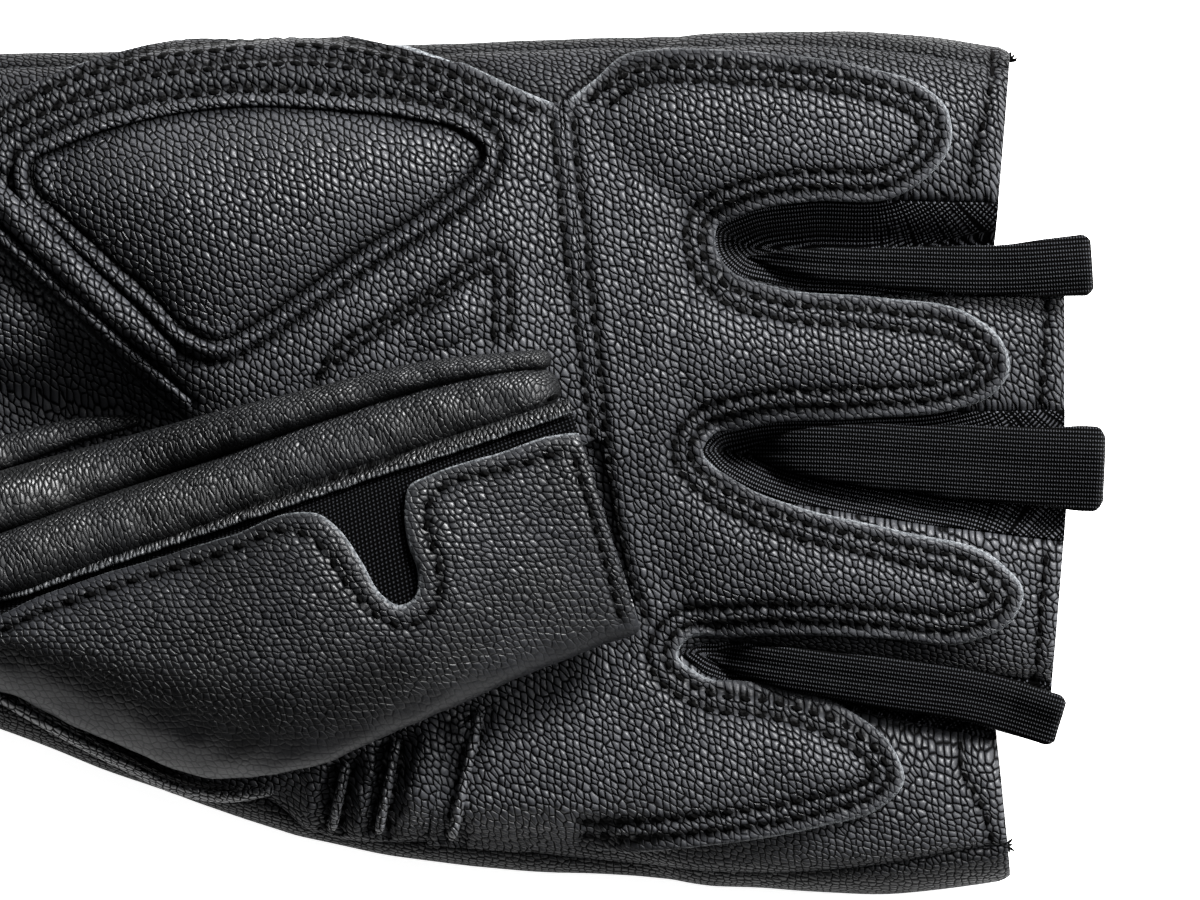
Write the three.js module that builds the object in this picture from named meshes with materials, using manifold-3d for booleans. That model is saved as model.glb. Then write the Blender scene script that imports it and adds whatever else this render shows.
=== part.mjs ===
// Half-finger leather fitness glove for the right hand, lying palm up on the back of the hand.
// Millimetres. Fingers point along +X, the little finger is at +Y, the palm faces +Z.
// The origin lies on the surface under the middle of the glove.
import * as THREE from "three";
import { mergeVertices } from "three/addons/utils/BufferGeometryUtils.js";
import Module from "manifold-3d";

const wasm = await Module();
wasm.setup();

// Driving sizes
const LEATHER = 1.4; // wall of the glove's body
const OVERLAY = 1.2; // thickness of a leather piece sewn on the palm
const GAP = 0.3; // clearance between pieces that lie on each other
const OVERLAY_TOP = GAP + OVERLAY; // height of an overlay's face over the body
const WRIST_X = -90; // edge of the wrist opening
const MIDDLE = 0.45; // height of a tube's widest line, as a part of its full height
const SINK = 1.6; // how far a tube's round bottom is pressed flat on the surface
const ROUNDNESS = 2.6; // exponent of the superellipse that a tube's section follows
const AROUND = 26; // points round the hand
const AROUND_FINGER = 16; // points round a finger and the thumb
const HEM_EXTRA = 0.6; // the turned wrist hem stands this much proud of the leather
const HEM_WIDE = 9; // length of the turned hem along the wrist
const SIDE = 70; // a plan line this far from the middle lies outside the glove
const BELOW = -9; // a height under the glove
const ABOVE = 80; // a height over the glove
const OVERRUN = 4; // how far a cutting form runs on past an open end
const PRESS = { x: 4, y: -18, alongX: 42, alongY: 24, depth: 0.2 }; // the thumb presses the palm down

// A table with named columns: one object for each row.
function table(columns, rows) {
  const names = columns.split(" ");
  return rows.map((row) => Object.fromEntries(names.map((name, i) => [name, row[i]])));
}

// The hand, from the wrist to the roots of the fingers: its two sides and its height.
const HAND = table("x high low top", [
  [-90, 46.0, -23.0, 21.0],
  [-76, 47.4, -24.2, 22.5],
  [-60, 48.4, -27.2, 24.0],
  [-43, 49.2, -32.3, 24.6],
  [-30, 49.4, -37.4, 24.6],
  [-16, 49.8, -42.4, 24.5],
  [-4, 50.2, -46.2, 24.2],
  [8, 50.4, -48.2, 23.6],
  [20, 50.9, -49.4, 22.8],
  [32, 51.2, -50.0, 21.4],
  [40, 51.2, -50.6, 19.0],
  [43.5, 50.6, -50.2, 17.0],
]);

// The fingers, from inside the palm to the cut mouths. slant leans the mouth: x added per mm of y.
const FINGERS = {
  little: table("x high low top slant", [
    [26, 47.5, 28.5, 15.5, 0],
    [38, 51.2, 26.9, 19.4, 0],
    [50, 51.8, 26.7, 18.8, 0],
    [65, 51.6, 26.5, 17.3, 0.04],
    [77.6, 49.8, 26.2, 15.4, 0.08],
  ]),
  ring: table("x high low top slant", [
    [26, 24.5, 3.0, 15.5, 0],
    [38, 25.4, 2.0, 19.8, 0],
    [50, 25.6, 1.6, 19.2, 0],
    [70, 25.3, 0.2, 17.2, 0],
    [85.0, 25.1, -0.4, 15.4, 0],
  ]),
  middle: table("x high low top slant", [
    [26, -0.5, -21.5, 15.5, 0],
    [38, 0.8, -22.4, 19.8, 0],
    [50, 0.5, -24.2, 19.2, 0],
    [70, -0.9, -27.8, 17.2, 0.04],
    [84.4, -1.5, -29.7, 15.4, 0.08],
  ]),
  index: table("x high low top slant", [
    [26, -24.8, -46.5, 15.5, 0],
    [38, -23.6, -50.6, 19.2, 0],
    [50, -25.4, -51.6, 18.8, 0],
    [65, -28.6, -52.2, 17.3, -0.04],
    [77.6, -30.8, -50.6, 15.4, -0.1],
  ]),
};

// The straight value between two rows of a table at x.
function between(rows, x, name) {
  const last = rows.length - 1;
  const i = Math.min(Math.max(rows.findIndex((row) => row.x > x) - 1, 0), last - 1);
  const k = x >= rows[last].x ? last - 1 : i;
  const share = Math.min(Math.max((x - rows[k].x) / (rows[k + 1].x - rows[k].x), 0), 1);
  return rows[k][name] + share * (rows[k + 1][name] - rows[k][name]);
}

const power = (v, n) => Math.sign(v) * Math.abs(v) ** n;

// How much of its height the glove keeps at a place: less under the thumb.
function kept(x, y) {
  const u = (x - PRESS.x) / PRESS.alongX;
  const v = (y - PRESS.y) / PRESS.alongY;
  return 1 - PRESS.depth * Math.exp(-((u * u + v * v) ** 2));
}

// One section of a tube: a superellipse, grown by a few mm, with its bottom flat at floor.
function tubeRing(row, grow, floor, count, shiftX = 0) {
  const centre = (row.high + row.low) / 2;
  const half = (row.high - row.low) / 2 + grow;
  const middle = row.top * MIDDLE;
  const ring = [];
  for (let i = 0; i < count; i++) {
    const angle = (2 * Math.PI * i) / count;
    const across = power(Math.cos(angle), 2 / ROUNDNESS);
    const up = power(Math.sin(angle), 2 / ROUNDNESS);
    const reach = up > 0 ? row.top - middle + grow : middle + SINK + grow;
    const y = centre + half * across;
    const x = row.x + shiftX + (row.slant ?? 0) * (y - centre);
    ring.push(new THREE.Vector3(x, y, Math.max(middle + reach * up, floor) * kept(x, y)));
  }
  return ring;
}

// The height of a tube's upper side over a place, for pieces that lie on it.
function tubeTop(rows, x, y) {
  const high = between(rows, x, "high");
  const low = between(rows, x, "low");
  const top = between(rows, x, "top");
  const u = Math.min(Math.abs((2 * y - high - low) / (high - low)), 1);
  const middle = top * MIDDLE;
  return (middle + (top - middle) * (1 - u ** ROUNDNESS) ** (1 / ROUNDNESS)) * kept(x, y);
}

// The height of the whole palm side over a place.
function palmTop(x, y) {
  const ends = HAND[HAND.length - 1].x;
  let height = x < ends ? tubeTop(HAND, x, y) : 0;
  for (const rows of Object.values(FINGERS)) {
    const low = between(rows, x, "low");
    const high = between(rows, x, "high");
    if (x > rows[0].x && y > low && y < high) height = Math.max(height, tubeTop(rows, x, y));
  }
  return height;
}

// A closed body through rings of equal count, with a flat fan over each end.
function skin(rings) {
  const count = rings[0].length;
  const points = rings.flat();
  const faces = [];
  for (let j = 0; j + 1 < rings.length; j++) {
    for (let i = 0; i < count; i++) {
      const next = (i + 1) % count;
      const a = j * count + i;
      const b = j * count + next;
      faces.push(a, b, b + count, a, b + count, a + count);
    }
  }
  const ends = [rings[0], rings[rings.length - 1]];
  ends.forEach((ring, k) => {
    const centre = ring.reduce((sum, p) => sum.add(p), new THREE.Vector3()).divideScalar(count);
    const base = k * (rings.length - 1) * count;
    const middle = points.length;
    points.push(centre);
    for (let i = 0; i < count; i++) {
      const next = (i + 1) % count;
      if (k === 0) faces.push(middle, base + next, base + i);
      else faces.push(middle, base + i, base + next);
    }
  });
  const geometry = new THREE.BufferGeometry().setFromPoints(points);
  geometry.setIndex(faces);
  return geometry;
}

// A solid for cutting and joining, from a closed geometry; turned right way out when needed.
function solid(geometry) {
  const bare = geometry.clone();
  bare.deleteAttribute("normal");
  bare.deleteAttribute("uv");
  const merged = mergeVertices(bare, 1e-4);
  const triVerts = new Uint32Array(merged.index.array);
  const make = () => {
    const vertProperties = merged.attributes.position.array;
    return new wasm.Manifold(new wasm.Mesh({ numProp: 3, vertProperties, triVerts }));
  };
  const first = make();
  if (first.volume() > 0) return first;
  for (let i = 0; i < triVerts.length; i += 3) {
    [triVerts[i + 1], triVerts[i + 2]] = [triVerts[i + 2], triVerts[i + 1]];
  }
  return make();
}

function geometryOf(body) {
  const mesh = body.getMesh();
  const geometry = new THREE.BufferGeometry();
  geometry.setAttribute("position", new THREE.BufferAttribute(mesh.vertProperties, 3));
  geometry.setIndex(new THREE.BufferAttribute(mesh.triVerts, 1));
  return geometry;
}

// The body with the largest volume: cutting can leave crumbs at thin edges.
function largest(body) {
  return body.decompose().reduce((best, one) => (one.volume() > best.volume() ? one : best));
}

const joined = (bodies) => bodies.reduce((sum, body) => sum.add(body));

// An upright prism over a plan outline given as rows with x and y.
function prism(rows, low, high) {
  const shape = new THREE.Shape(rows.map((row) => new THREE.Vector2(row.x, row.y)));
  const geometry = new THREE.ExtrudeGeometry(shape, { depth: high - low, bevelEnabled: false });
  geometry.translate(0, 0, low);
  return solid(geometry);
}

const plan = (rows) => table("x y", rows);

// The glove's body: the hand and the fingers as one outer form, grown by a few mm. overrun carries
// it on past the wrist and the mouths.
function bodyForm(grow, floor, overrun) {
  const tube = (rows, count) => {
    const rings = rows.map((row) => tubeRing(row, grow, floor, count));
    rings.push(tubeRing(rows[rows.length - 1], grow, floor, count, overrun));
    return solid(skin(overrun ? rings : rings.slice(0, -1)));
  };
  const handRings = HAND.map((row, i) => {
    const end = i === HAND.length - 1 ? grow : 0;
    return tubeRing(row, grow, floor, AROUND, end);
  });
  if (overrun) handRings.unshift(tubeRing(HAND[0], grow, floor, AROUND, -overrun));
  const fingers = Object.values(FINGERS).map((rows) => tube(rows, AROUND_FINGER));
  return joined([solid(skin(handRings)), ...fingers]);
}

const outside = bodyForm(0, 0, 0);
const hollow = bodyForm(-LEATHER, LEATHER, OVERRUN);
const skinTop = bodyForm(GAP, 0, OVERRUN); // the face that overlays lie on
const overlayTop = bodyForm(OVERLAY_TOP, 0, OVERRUN);

// The thumb lies across the palm, its mouth towards the fingers. Each row is a section from the
// upper side (beside the folds) to the lower fold: floor is its height over the palm, and a floor
// below zero opens the thumb into the hand.
const THUMB = table("highX highY lowX lowY thick floor", [
  [25.4, 7.0, 34.0, -20.4, 11.0, 0.0],
  [14.0, 3.2, 20.4, -25.6, 12.5, 0.0],
  [2.0, -0.6, 6.6, -31.6, 13.6, 0.0],
  [-9.0, -4.2, -6.0, -36.6, 14.2, 0.0],
  [-19.0, -7.4, -17.6, -38.0, 13.6, -8.0],
  [-30.0, -11.0, -30.0, -33.6, 11.6, -10.0],
  [-42.0, -15.2, -42.4, -27.8, 8.2, -10.0],
  [-54.0, -19.4, -54.4, -24.4, 4.0, -9.0],
]);
const THUMB_CLEAR = OVERLAY_TOP + 0.5; // the thumb's underside over the palm's body

// A section of the thumb, drawn in by inset on all sides and carried along its axis by run.
function thumbRing(row, inset, run = 0) {
  const high = new THREE.Vector2(row.highX, row.highY);
  const low = new THREE.Vector2(row.lowX, row.lowY);
  const across = low.clone().sub(high);
  const half = across.length() / 2;
  const side = across.clone().normalize();
  const centre = high.clone().add(low).multiplyScalar(0.5);
  const ring = [];
  for (let i = 0; i < AROUND_FINGER; i++) {
    const angle = (2 * Math.PI * i) / AROUND_FINGER;
    const u = power(Math.cos(angle), 2 / ROUNDNESS) * (half - inset);
    const up = power(Math.sin(angle), 2 / ROUNDNESS);
    const x = centre.x + side.x * u - side.y * run;
    const y = centre.y + side.y * u + side.x * run;
    const ground = palmTop(x, y) + THUMB_CLEAR;
    const tall = row.thick - row.floor;
    const z = ground + row.floor + tall / 2 + up * (tall / 2 - inset);
    ring.push(new THREE.Vector3(x, y, z));
  }
  return ring;
}

const thumbOutside = solid(skin(THUMB.map((row) => thumbRing(row, 0))));
const thumbHollow = solid(skin([
  thumbRing(THUMB[0], LEATHER, OVERRUN),
  ...THUMB.slice(0, -1).map((row) => thumbRing(row, LEATHER)),
]));
const thumbPassage = solid(skin(THUMB.map((row) => thumbRing(row, -GAP))));

const bodyShell = outside.subtract(hollow).subtract(thumbHollow);

// Where the palm's leather ends, seen from above: along the little finger's side and along the
// index finger's side and the thumb's base.
const PALM_EDGE = plan([
  [-96, 42.5], [-60, 46.6], [-20, 48.6], [14.6, 49.8], [35, 50.3], [53, 50.5], [66, 49.6],
  [79, 47.6], [92, 46.0], [92, -46.4], [75, -46.8], [66, -48.4], [50, -50.0], [29, -48.5],
  [11.4, -46.3], [-5.8, -44.9], [-11, -41.0], [-21.5, -39.4], [-30, -35.6], [-43, -29.0],
  [-60, -23.6], [-96, -19.6],
]);
const SEAM_LOW = 8.2; // height where the side seams begin
const palmSide = prism(PALM_EDGE, SEAM_LOW, ABOVE);
const aroundPalm = prism(PALM_EDGE.map((row) => ({
  x: row.x,
  y: row.y + Math.sign(row.y) * GAP,
})), SEAM_LOW - GAP, ABOVE);

// The rib knit between the fingers, seen from above: its edges along the two fingers' leather.
const KNIT_LOW = 4; // height of the seam between the knit and the back's leather
const KNITS = {
  1: plan([[41.6, 26.5], [45.5, 29.6], [55, 31.0], [92, 30.8], [92, 20.0], [55, 20.4], [45.5, 22.6]]),
  2: plan([[40.4, 1.2], [45, 4.0], [55, 5.2], [92, 6.2], [92, -10.4], [68, -7.4], [51, -4.7],
    [44, -1.6]]),
  3: plan([[38.6, -23.0], [42, -21.9], [62, -24.0], [92, -28.4], [92, -35.0], [76, -33.0],
    [62, -30.0], [42, -25.6]]),
};

// An outline moved outwards by a distance, for the clearance round a piece.
function widened(rows, by) {
  const shape = rows.map((row) => new THREE.Vector2(row.x, row.y));
  const count = shape.length;
  const turn = Math.sign(THREE.ShapeUtils.area(shape));
  return shape.map((p, i) => {
    const before = shape[(i + count - 1) % count];
    const after = shape[(i + 1) % count];
    const along = after.clone().sub(before).normalize();
    return { x: p.x + along.y * by * turn, y: p.y - along.x * by * turn };
  });
}

const knitPrisms = Object.values(KNITS).map((rows) => prism(rows, KNIT_LOW, ABOVE));
const knitClearance = joined(Object.values(KNITS).map(
  (rows) => prism(widened(rows, GAP), KNIT_LOW - GAP, ABOVE)));

// All of the wrist up to a straight line across it.
const wristUpTo = (x) => prism(plan([
  [WRIST_X - HEM_WIDE, -SIDE], [x, -SIDE], [x, SIDE], [WRIST_X - HEM_WIDE, SIDE],
]), BELOW, ABOVE);
const hemZone = wristUpTo(WRIST_X + HEM_WIDE);
const hemClear = wristUpTo(WRIST_X + HEM_WIDE + GAP);

const leatherShell = bodyShell.subtract(knitClearance).subtract(hemClear);
const palmPanel = leatherShell.intersect(palmSide);
const backPanel = leatherShell.subtract(aroundPalm);
const wristHem = bodyForm(HEM_EXTRA, 0, 0).subtract(hollow).intersect(hemZone);

// The seam between the two palm overlays, from the V notch down to the thumb's mouth.
const PALM_SEAM = plan([
  [24.4, 42.6], [25.2, 33.8], [26.2, 25.3], [27.4, 14.5], [29.2, 2.5], [31.7, -10.7], [33.6, -19.6],
]);

// The four-lobed overlay on the fingers, from the V notch round the four finger tips. Under the
// thumb it ends along a line of its own.
const FINGER_PANEL = plan([
  [28.2, 45.5], [31.3, 48.0], [37.4, 49.2], [50.5, 48.6], [61, 47.2], [67.5, 45.2], [70.6, 42.6],
  [71.2, 38.0], [68.9, 34.6], [65, 32.0], [53.5, 31.2], [46.2, 29.9], [42.8, 27.9], [42.8, 25.4],
  [45.0, 22.4], [50, 20.8], [62.8, 19.6], [73.5, 17.6], [77.5, 14.2], [78.3, 10.8], [76, 7.8],
  [71.4, 6.2], [60, 5.2], [46.2, 4.3], [42.4, 3.1], [41.2, 1.2], [42.6, -0.6], [46.5, -3.2],
  [53, -5.6], [65, -8.4], [77.2, -12.2], [80.0, -15.8], [78.5, -19.3], [73.5, -21.7], [62.2, -21.2],
  [44, -21.0], [39.2, -21.7], [38.3, -23.2], [40.6, -25.4], [50.5, -27.4], [59, -30.3], [64, -34.2],
  [65.6, -38.6], [62.6, -41.8], [56, -43.8], [41, -46.2], [19.4, -47.0],
]);
const UNDER_THUMB = plan([[8.2, -46.2], [10.6, -33.0], [20.5, -26.5], [29.4, -21.4]]);
const fingerOutline = [...PALM_SEAM.map((row) => ({ x: row.x + GAP / 2, y: row.y })),
  ...UNDER_THUMB.toReversed(), ...FINGER_PANEL.toReversed()];

// The overlay on the heel of the hand: its raw edge from the V notch round to the thumb.
const HEEL_PANEL = plan([
  [29.2, 2.5], [14.6, -1.6], [-1, -2.6], [-14, 0.6], [-21.5, 5.4], [-30.7, 13.8], [-36.8, 19.4],
  [-43, 25.0], [-50.2, 30.4], [-53.2, 34.6], [-50.2, 39.2], [-43, 43.4], [-35.3, 47.2],
  [-28, 49.6], [-20, 53], [-3, 53], [5, 50.4], [14.5, 46.8], [19.8, 44.4], [23.9, 42.8],
]);
const heelOutline = [...HEEL_PANEL.map((row) => ({ x: row.x - GAP / 2, y: row.y })),
  ...PALM_SEAM.slice(0, 5).map((row) => ({ x: row.x - GAP / 2, y: row.y }))];

// What lies on the palm is cut clear of the body and of the overlays under it.
const overlayRoom = joined([fingerOutline, heelOutline].map(
  (rows) => prism(widened(rows, GAP), SEAM_LOW, ABOVE)));
const overlayClear = overlayRoom.intersect(bodyForm(OVERLAY_TOP + GAP, 0, OVERRUN));
const seated = (body) => body.subtract(skinTop).subtract(overlayClear);

const overlayLayer = overlayTop.subtract(skinTop).subtract(thumbPassage);
const OVERLAY_LOW = 12; // an overlay reaches no lower than this down the side
const fingerPanel = overlayLayer.intersect(prism(fingerOutline, OVERLAY_LOW, ABOVE));
const heelPanel = overlayLayer.intersect(prism(heelOutline, OVERLAY_LOW, ABOVE));

// A smooth line in plan through rows with x and y.
function lineThrough(rows, closed) {
  const corners = rows.map((row) => new THREE.Vector3(row.x, row.y, 0));
  return new THREE.CatmullRomCurve3(corners, closed, "centripetal");
}

const CUSHION_STEPS = 3; // rings from a cushion's middle to its side
const CUSHION_FINE = 2; // points on the outline for each row given
const SQUARE = 3; // exponent of a cushion's crown: flat in the middle, steep at the side

// A soft form on the palm: rings shrink from the outline to its middle, its floor follows the palm
// at clear, and its roof rises by crown. edge is the height of its side.
function cushion(rows, clear, crown, edge) {
  const steps = CUSHION_STEPS;
  const outline = lineThrough(rows, true).getPoints(rows.length * CUSHION_FINE).slice(0, -1);
  const centre = outline.reduce((sum, p) => sum.add(p), new THREE.Vector3());
  centre.divideScalar(outline.length);
  const ring = (scale, rise) => outline.map((p) => {
    const x = centre.x + (p.x - centre.x) * scale;
    const y = centre.y + (p.y - centre.y) * scale;
    return new THREE.Vector3(x, y, palmTop(x, y) + clear + rise);
  });
  const rings = [];
  for (let k = 1; k <= steps; k++) rings.push(ring(k / steps, 0));
  for (let k = steps; k >= 1; k--) {
    const s = k / steps;
    rings.push(ring(s, edge + crown * Math.sqrt(1 - s ** SQUARE)));
  }
  return solid(skin(rings));
}

const FOLD_SIDES = 10; // points round a fold's section
const FOLD_SIDE = 0.3; // height of a fold's side, as a part of its full height

// A bar with a D-shaped section that lies on the palm along a route; width and height per row.
function foldBar(rows, clear, steps) {
  const curve = lineThrough(rows, false);
  const rings = [];
  for (let k = 0; k <= steps; k++) {
    const t = k / steps;
    const p = curve.getPoint(t);
    const along = curve.getTangent(t);
    const at = t * (rows.length - 1);
    const i = Math.min(Math.floor(at), rows.length - 2);
    const width = THREE.MathUtils.lerp(rows[i].width, rows[i + 1].width, at - i);
    const height = THREE.MathUtils.lerp(rows[i].height, rows[i + 1].height, at - i);
    rings.push(Array.from({ length: FOLD_SIDES }, (_, s) => {
      const angle = (2 * Math.PI * s) / FOLD_SIDES;
      const u = (Math.cos(angle) * width) / 2;
      const x = p.x - along.y * u;
      const y = p.y + along.x * u;
      const upper = s <= FOLD_SIDES / 2;
      const rise = upper ? FOLD_SIDE + (1 - FOLD_SIDE) * Math.sin(angle) : 0;
      return new THREE.Vector3(x, y, palmTop(x, y) + clear + height * rise);
    }));
  }
  return solid(skin(rings));
}

const SEAT = OVERLAY_TOP + GAP; // height over the palm of what lies on an overlay

const HEEL_PAD = plan([
  [-39.2, 35.0], [-35.0, 37.4], [-25.8, 40.4], [-15.1, 42.0], [-3.1, 41.7], [6.8, 40.6],
  [12.4, 39.2], [14.6, 37.0], [13.4, 34.2], [8.8, 30.3], [0.8, 25.4], [-7.2, 19.8], [-12.8, 16.1],
  [-16.7, 14.8], [-19.6, 15.6], [-24.3, 19.9], [-30.0, 24.9], [-35.2, 29.6], [-39.0, 33.0],
]);
const heelPad = cushion(HEEL_PAD, SEAT, 3.4, 0.6);

// The same triangle, a little wider, carries the bead.
const BEAD = 1.5; // thickness of the bead
const BEAD_OUT = 1.2; // from the pad's side to the bead's middle line
const BEAD_STEPS = 48;
const BEAD_SIDES = 6;
const heelBead = (() => {
  const path = lineThrough(widened(HEEL_PAD, BEAD_OUT), true);
  const points = [];
  const faces = [];
  for (let k = 0; k < BEAD_STEPS; k++) {
    const p = path.getPoint(k / BEAD_STEPS);
    const along = path.getTangent(k / BEAD_STEPS);
    for (let s = 0; s < BEAD_SIDES; s++) {
      const angle = (2 * Math.PI * s) / BEAD_SIDES;
      const u = (Math.cos(angle) * BEAD) / 2;
      const x = p.x - along.y * u;
      const y = p.y + along.x * u;
      const z = palmTop(x, y) + SEAT + (BEAD / 2) * (1 + Math.sin(angle));
      points.push(new THREE.Vector3(x, y, z));
      const next = (k + 1) % BEAD_STEPS;
      const beside = (s + 1) % BEAD_SIDES;
      const a = k * BEAD_SIDES + s;
      const b = k * BEAD_SIDES + beside;
      const c = next * BEAD_SIDES + beside;
      const d = next * BEAD_SIDES + s;
      faces.push(a, c, b, a, d, c);
    }
  }
  const geometry = new THREE.BufferGeometry().setFromPoints(points);
  geometry.setIndex(faces);
  return solid(geometry);
})();

const bar = (rows) => table("x y width height", rows);
const heelRibInner = foldBar(bar([
  [-44.0, 33.2, 1.8, 1.2], [-40.2, 29.6, 2.2, 1.6], [-33.9, 23.4, 2.2, 1.6],
  [-27.9, 17.7, 2.2, 1.6], [-22.0, 12.6, 1.8, 1.2],
]), SEAT, 10);
const heelRibOuter = foldBar(bar([
  [-43.0, 28.2, 1.2, 1.0], [-37.2, 22.8, 1.4, 1.2], [-31.2, 17.4, 1.4, 1.2],
  [-25.2, 11.8, 1.4, 1.2], [-19.8, 7.2, 1.2, 1.0],
]), SEAT, 8);

const WEDGE = plan([
  [-2.6, 11.2], [3.2, 15.2], [9.8, 19.6], [13.6, 21.8], [15.2, 20.6], [15.4, 16.0], [13.4, 14.6],
  [5.0, 12.6],
]);
const wedgePad = cushion(WEDGE, SEAT, 1.4, 0.5);

const FOLD_CLEAR = 0.2; // the folds' underside over the palm, before they are cut to what they lie on
const rollUpper = foldBar(bar([
  [-62, -10.0, 3.0, 2.4], [-52, -7.6, 5.4, 5.0], [-43, -5.0, 6.3, 6.2], [-29, -0.6, 5.4, 6.0],
  [-16, 3.4, 4.6, 7.0], [-5, 6.6, 3.6, 6.4], [7, 10.2, 2.6, 5.4], [21.4, 12.6, 1.6, 4.0],
]), FOLD_CLEAR, 18);
const rollLower = foldBar(bar([
  [-60, -15.0, 2.6, 3.0], [-52, -13.6, 5.0, 6.0], [-43, -11.8, 5.8, 7.6], [-29, -6.8, 6.6, 8.0],
  [-16, -2.6, 6.0, 9.0], [-5, 1.4, 5.4, 8.4], [7, 5.6, 4.6, 7.6], [22.8, 9.6, 2.6, 5.8],
]), FOLD_CLEAR, 18);
const rollSmall = foldBar(bar([
  [-60, -3.0, 1.6, 1.6], [-50, -0.8, 3.0, 2.8], [-43, 0.9, 3.4, 3.0], [-34, 3.6, 2.6, 2.4],
  [-26, 5.0, 1.2, 1.0],
]), FOLD_CLEAR, 10);

// The three ribs between the thumb and the index finger's side seam. The third lies on the
// fingers' overlay.
const TUCKS = [
  { topX: -1.4, topY: -36.2, endX: -3.2, endY: -43.2, clear: GAP },
  { topX: 4.6, topY: -33.6, endX: 2.4, endY: -43.8, clear: GAP },
  { topX: 14.6, topY: -30.2, endX: 11.2, endY: -44.4, clear: SEAT },
];
const TUCK_WIDE = 1.6;
const tucks = TUCKS.map((tuck) => foldBar(bar([
  [tuck.topX, tuck.topY, TUCK_WIDE, 1.2], [tuck.endX, tuck.endY, TUCK_WIDE, 1.0],
]), tuck.clear, 4));

// The corded seam where the thumb's leather is sewn to the hand.
const piping = foldBar(bar([
  [-52, -23.4, 1.0, 1.0], [-43, -28.4, 1.4, 1.4], [-35, -33.0, 1.4, 1.4], [-27.6, -36.8, 1.4, 1.4],
  [-21.5, -39.6, 1.4, 1.4], [-15.4, -40.4, 1.4, 1.4], [-10.2, -39.6, 1.2, 1.2],
]), GAP, 14);

// Where the mesh shows in the thumb, seen from above: a strip beside the lower fold and the V notch.
const MESH_STRIP = plan([
  [-56, -16], [-43, -17.6], [-24, -11.0], [-6.4, -6.0], [-4.0, -6.6], [-1.4, -9.2], [1.2, -14.0],
  [3.4, -17.0], [5.4, -17.6], [6.8, -16.4], [7.4, -13.4], [6.2, -9.4], [5.8, -3.2], [8.4, -1.6],
  [17, 1.0], [26.8, 3.6], [34, 4.0], [34, 12], [-56, -4],
]);
const MESH_LOW = 24; // the mesh is cut from the thumb's upper side, above this height
const thumbShell = thumbOutside.subtract(thumbHollow).subtract(skinTop);
const thumbMesh = thumbShell.intersect(prism(widened(MESH_STRIP, -GAP / 2), MESH_LOW, ABOVE));
const thumbPanel = thumbShell.subtract(prism(widened(MESH_STRIP, GAP / 2), MESH_LOW - GAP, ABOVE));

// Rib-knit strips between the fingers: the part of the finger walls inside each outline.
const knits = knitPrisms.map((zone) => bodyShell.intersect(zone));

// Folded knit tabs: a flat strip from the fold between two fingers to its free end.
const TAB = {
  1: table("x y width", [[47, 24.6, 1.6], [54, 23.8, 3.4], [66, 23.2, 5.0], [78, 23.0, 6.2],
    [88.2, 23.6, 7.6]]),
  2: table("x y width", [[47, 1.2, 3.0], [56, 1.0, 6.4], [68, 0.2, 8.2], [80, -0.6, 9.4],
    [89.7, -1.0, 10.2]]),
  3: table("x y width", [[42, -23.4, 2.6], [52, -25.0, 5.0], [64, -26.8, 6.0], [75, -28.6, 6.2],
    [84.4, -31.4, 6.5]]),
};
const TAB_THICK = 2.2;
const TAB_LIFT = 0.5; // a tab's underside over the fingers' walls
const TAB_REST = [77, 84]; // past these places a tab no longer sinks with the fingers under it
const TAB_CORNER = 0.3; // height of a tab's rounded corner, as a part of its thickness
const TAB_FLAT = 0.8; // width of a tab's flat face, as a part of its full width

function pullTab(rows) {
  const rings = rows.map((row, i) => {
    const before = rows[Math.max(i - 1, 0)];
    const after = rows[Math.min(i + 1, rows.length - 1)];
    const along = new THREE.Vector2(after.x - before.x, after.y - before.y).normalize();
    const at = (u) => [row.x - (along.y * row.width * u) / 2, row.y + (along.x * row.width * u) / 2];
    const rest = Math.max(...TAB_REST.flatMap(
      (x) => [at(1), at(-1)].map(([, y]) => palmTop(Math.min(row.x, x), y))));
    const low = rest + TAB_LIFT;
    const high = low + TAB_THICK;
    const corner = TAB_THICK * TAB_CORNER;
    return [
      [1, low + corner], [1, high - corner], [TAB_FLAT, high], [-TAB_FLAT, high],
      [-1, high - corner], [-1, low + corner], [-TAB_FLAT, low], [TAB_FLAT, low],
    ].map(([u, z]) => new THREE.Vector3(...at(u), z));
  });
  return solid(skin(rings));
}

// Finishes: colour, roughness
const MATERIALS = {
  leather: new THREE.MeshStandardMaterial({ color: 0x26272a, roughness: 0.5, metalness: 0 }),
  padded: new THREE.MeshStandardMaterial({ color: 0x2a2b2e, roughness: 0.45, metalness: 0 }),
  knit: new THREE.MeshStandardMaterial({ color: 0x0c0d0f, roughness: 0.95, metalness: 0 }),
  mesh: new THREE.MeshStandardMaterial({ color: 0x101113, roughness: 0.9, metalness: 0 }),
};

const glove = new THREE.Group();

// Cuts the crumbs off a piece, names it and puts it in the glove.
function place(name, body, finish) {
  const mesh = new THREE.Mesh(geometryOf(largest(body)), MATERIALS[finish]);
  mesh.name = name;
  glove.add(mesh);
}

const clearOfThumb = (body) => body.subtract(thumbPassage);

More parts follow.
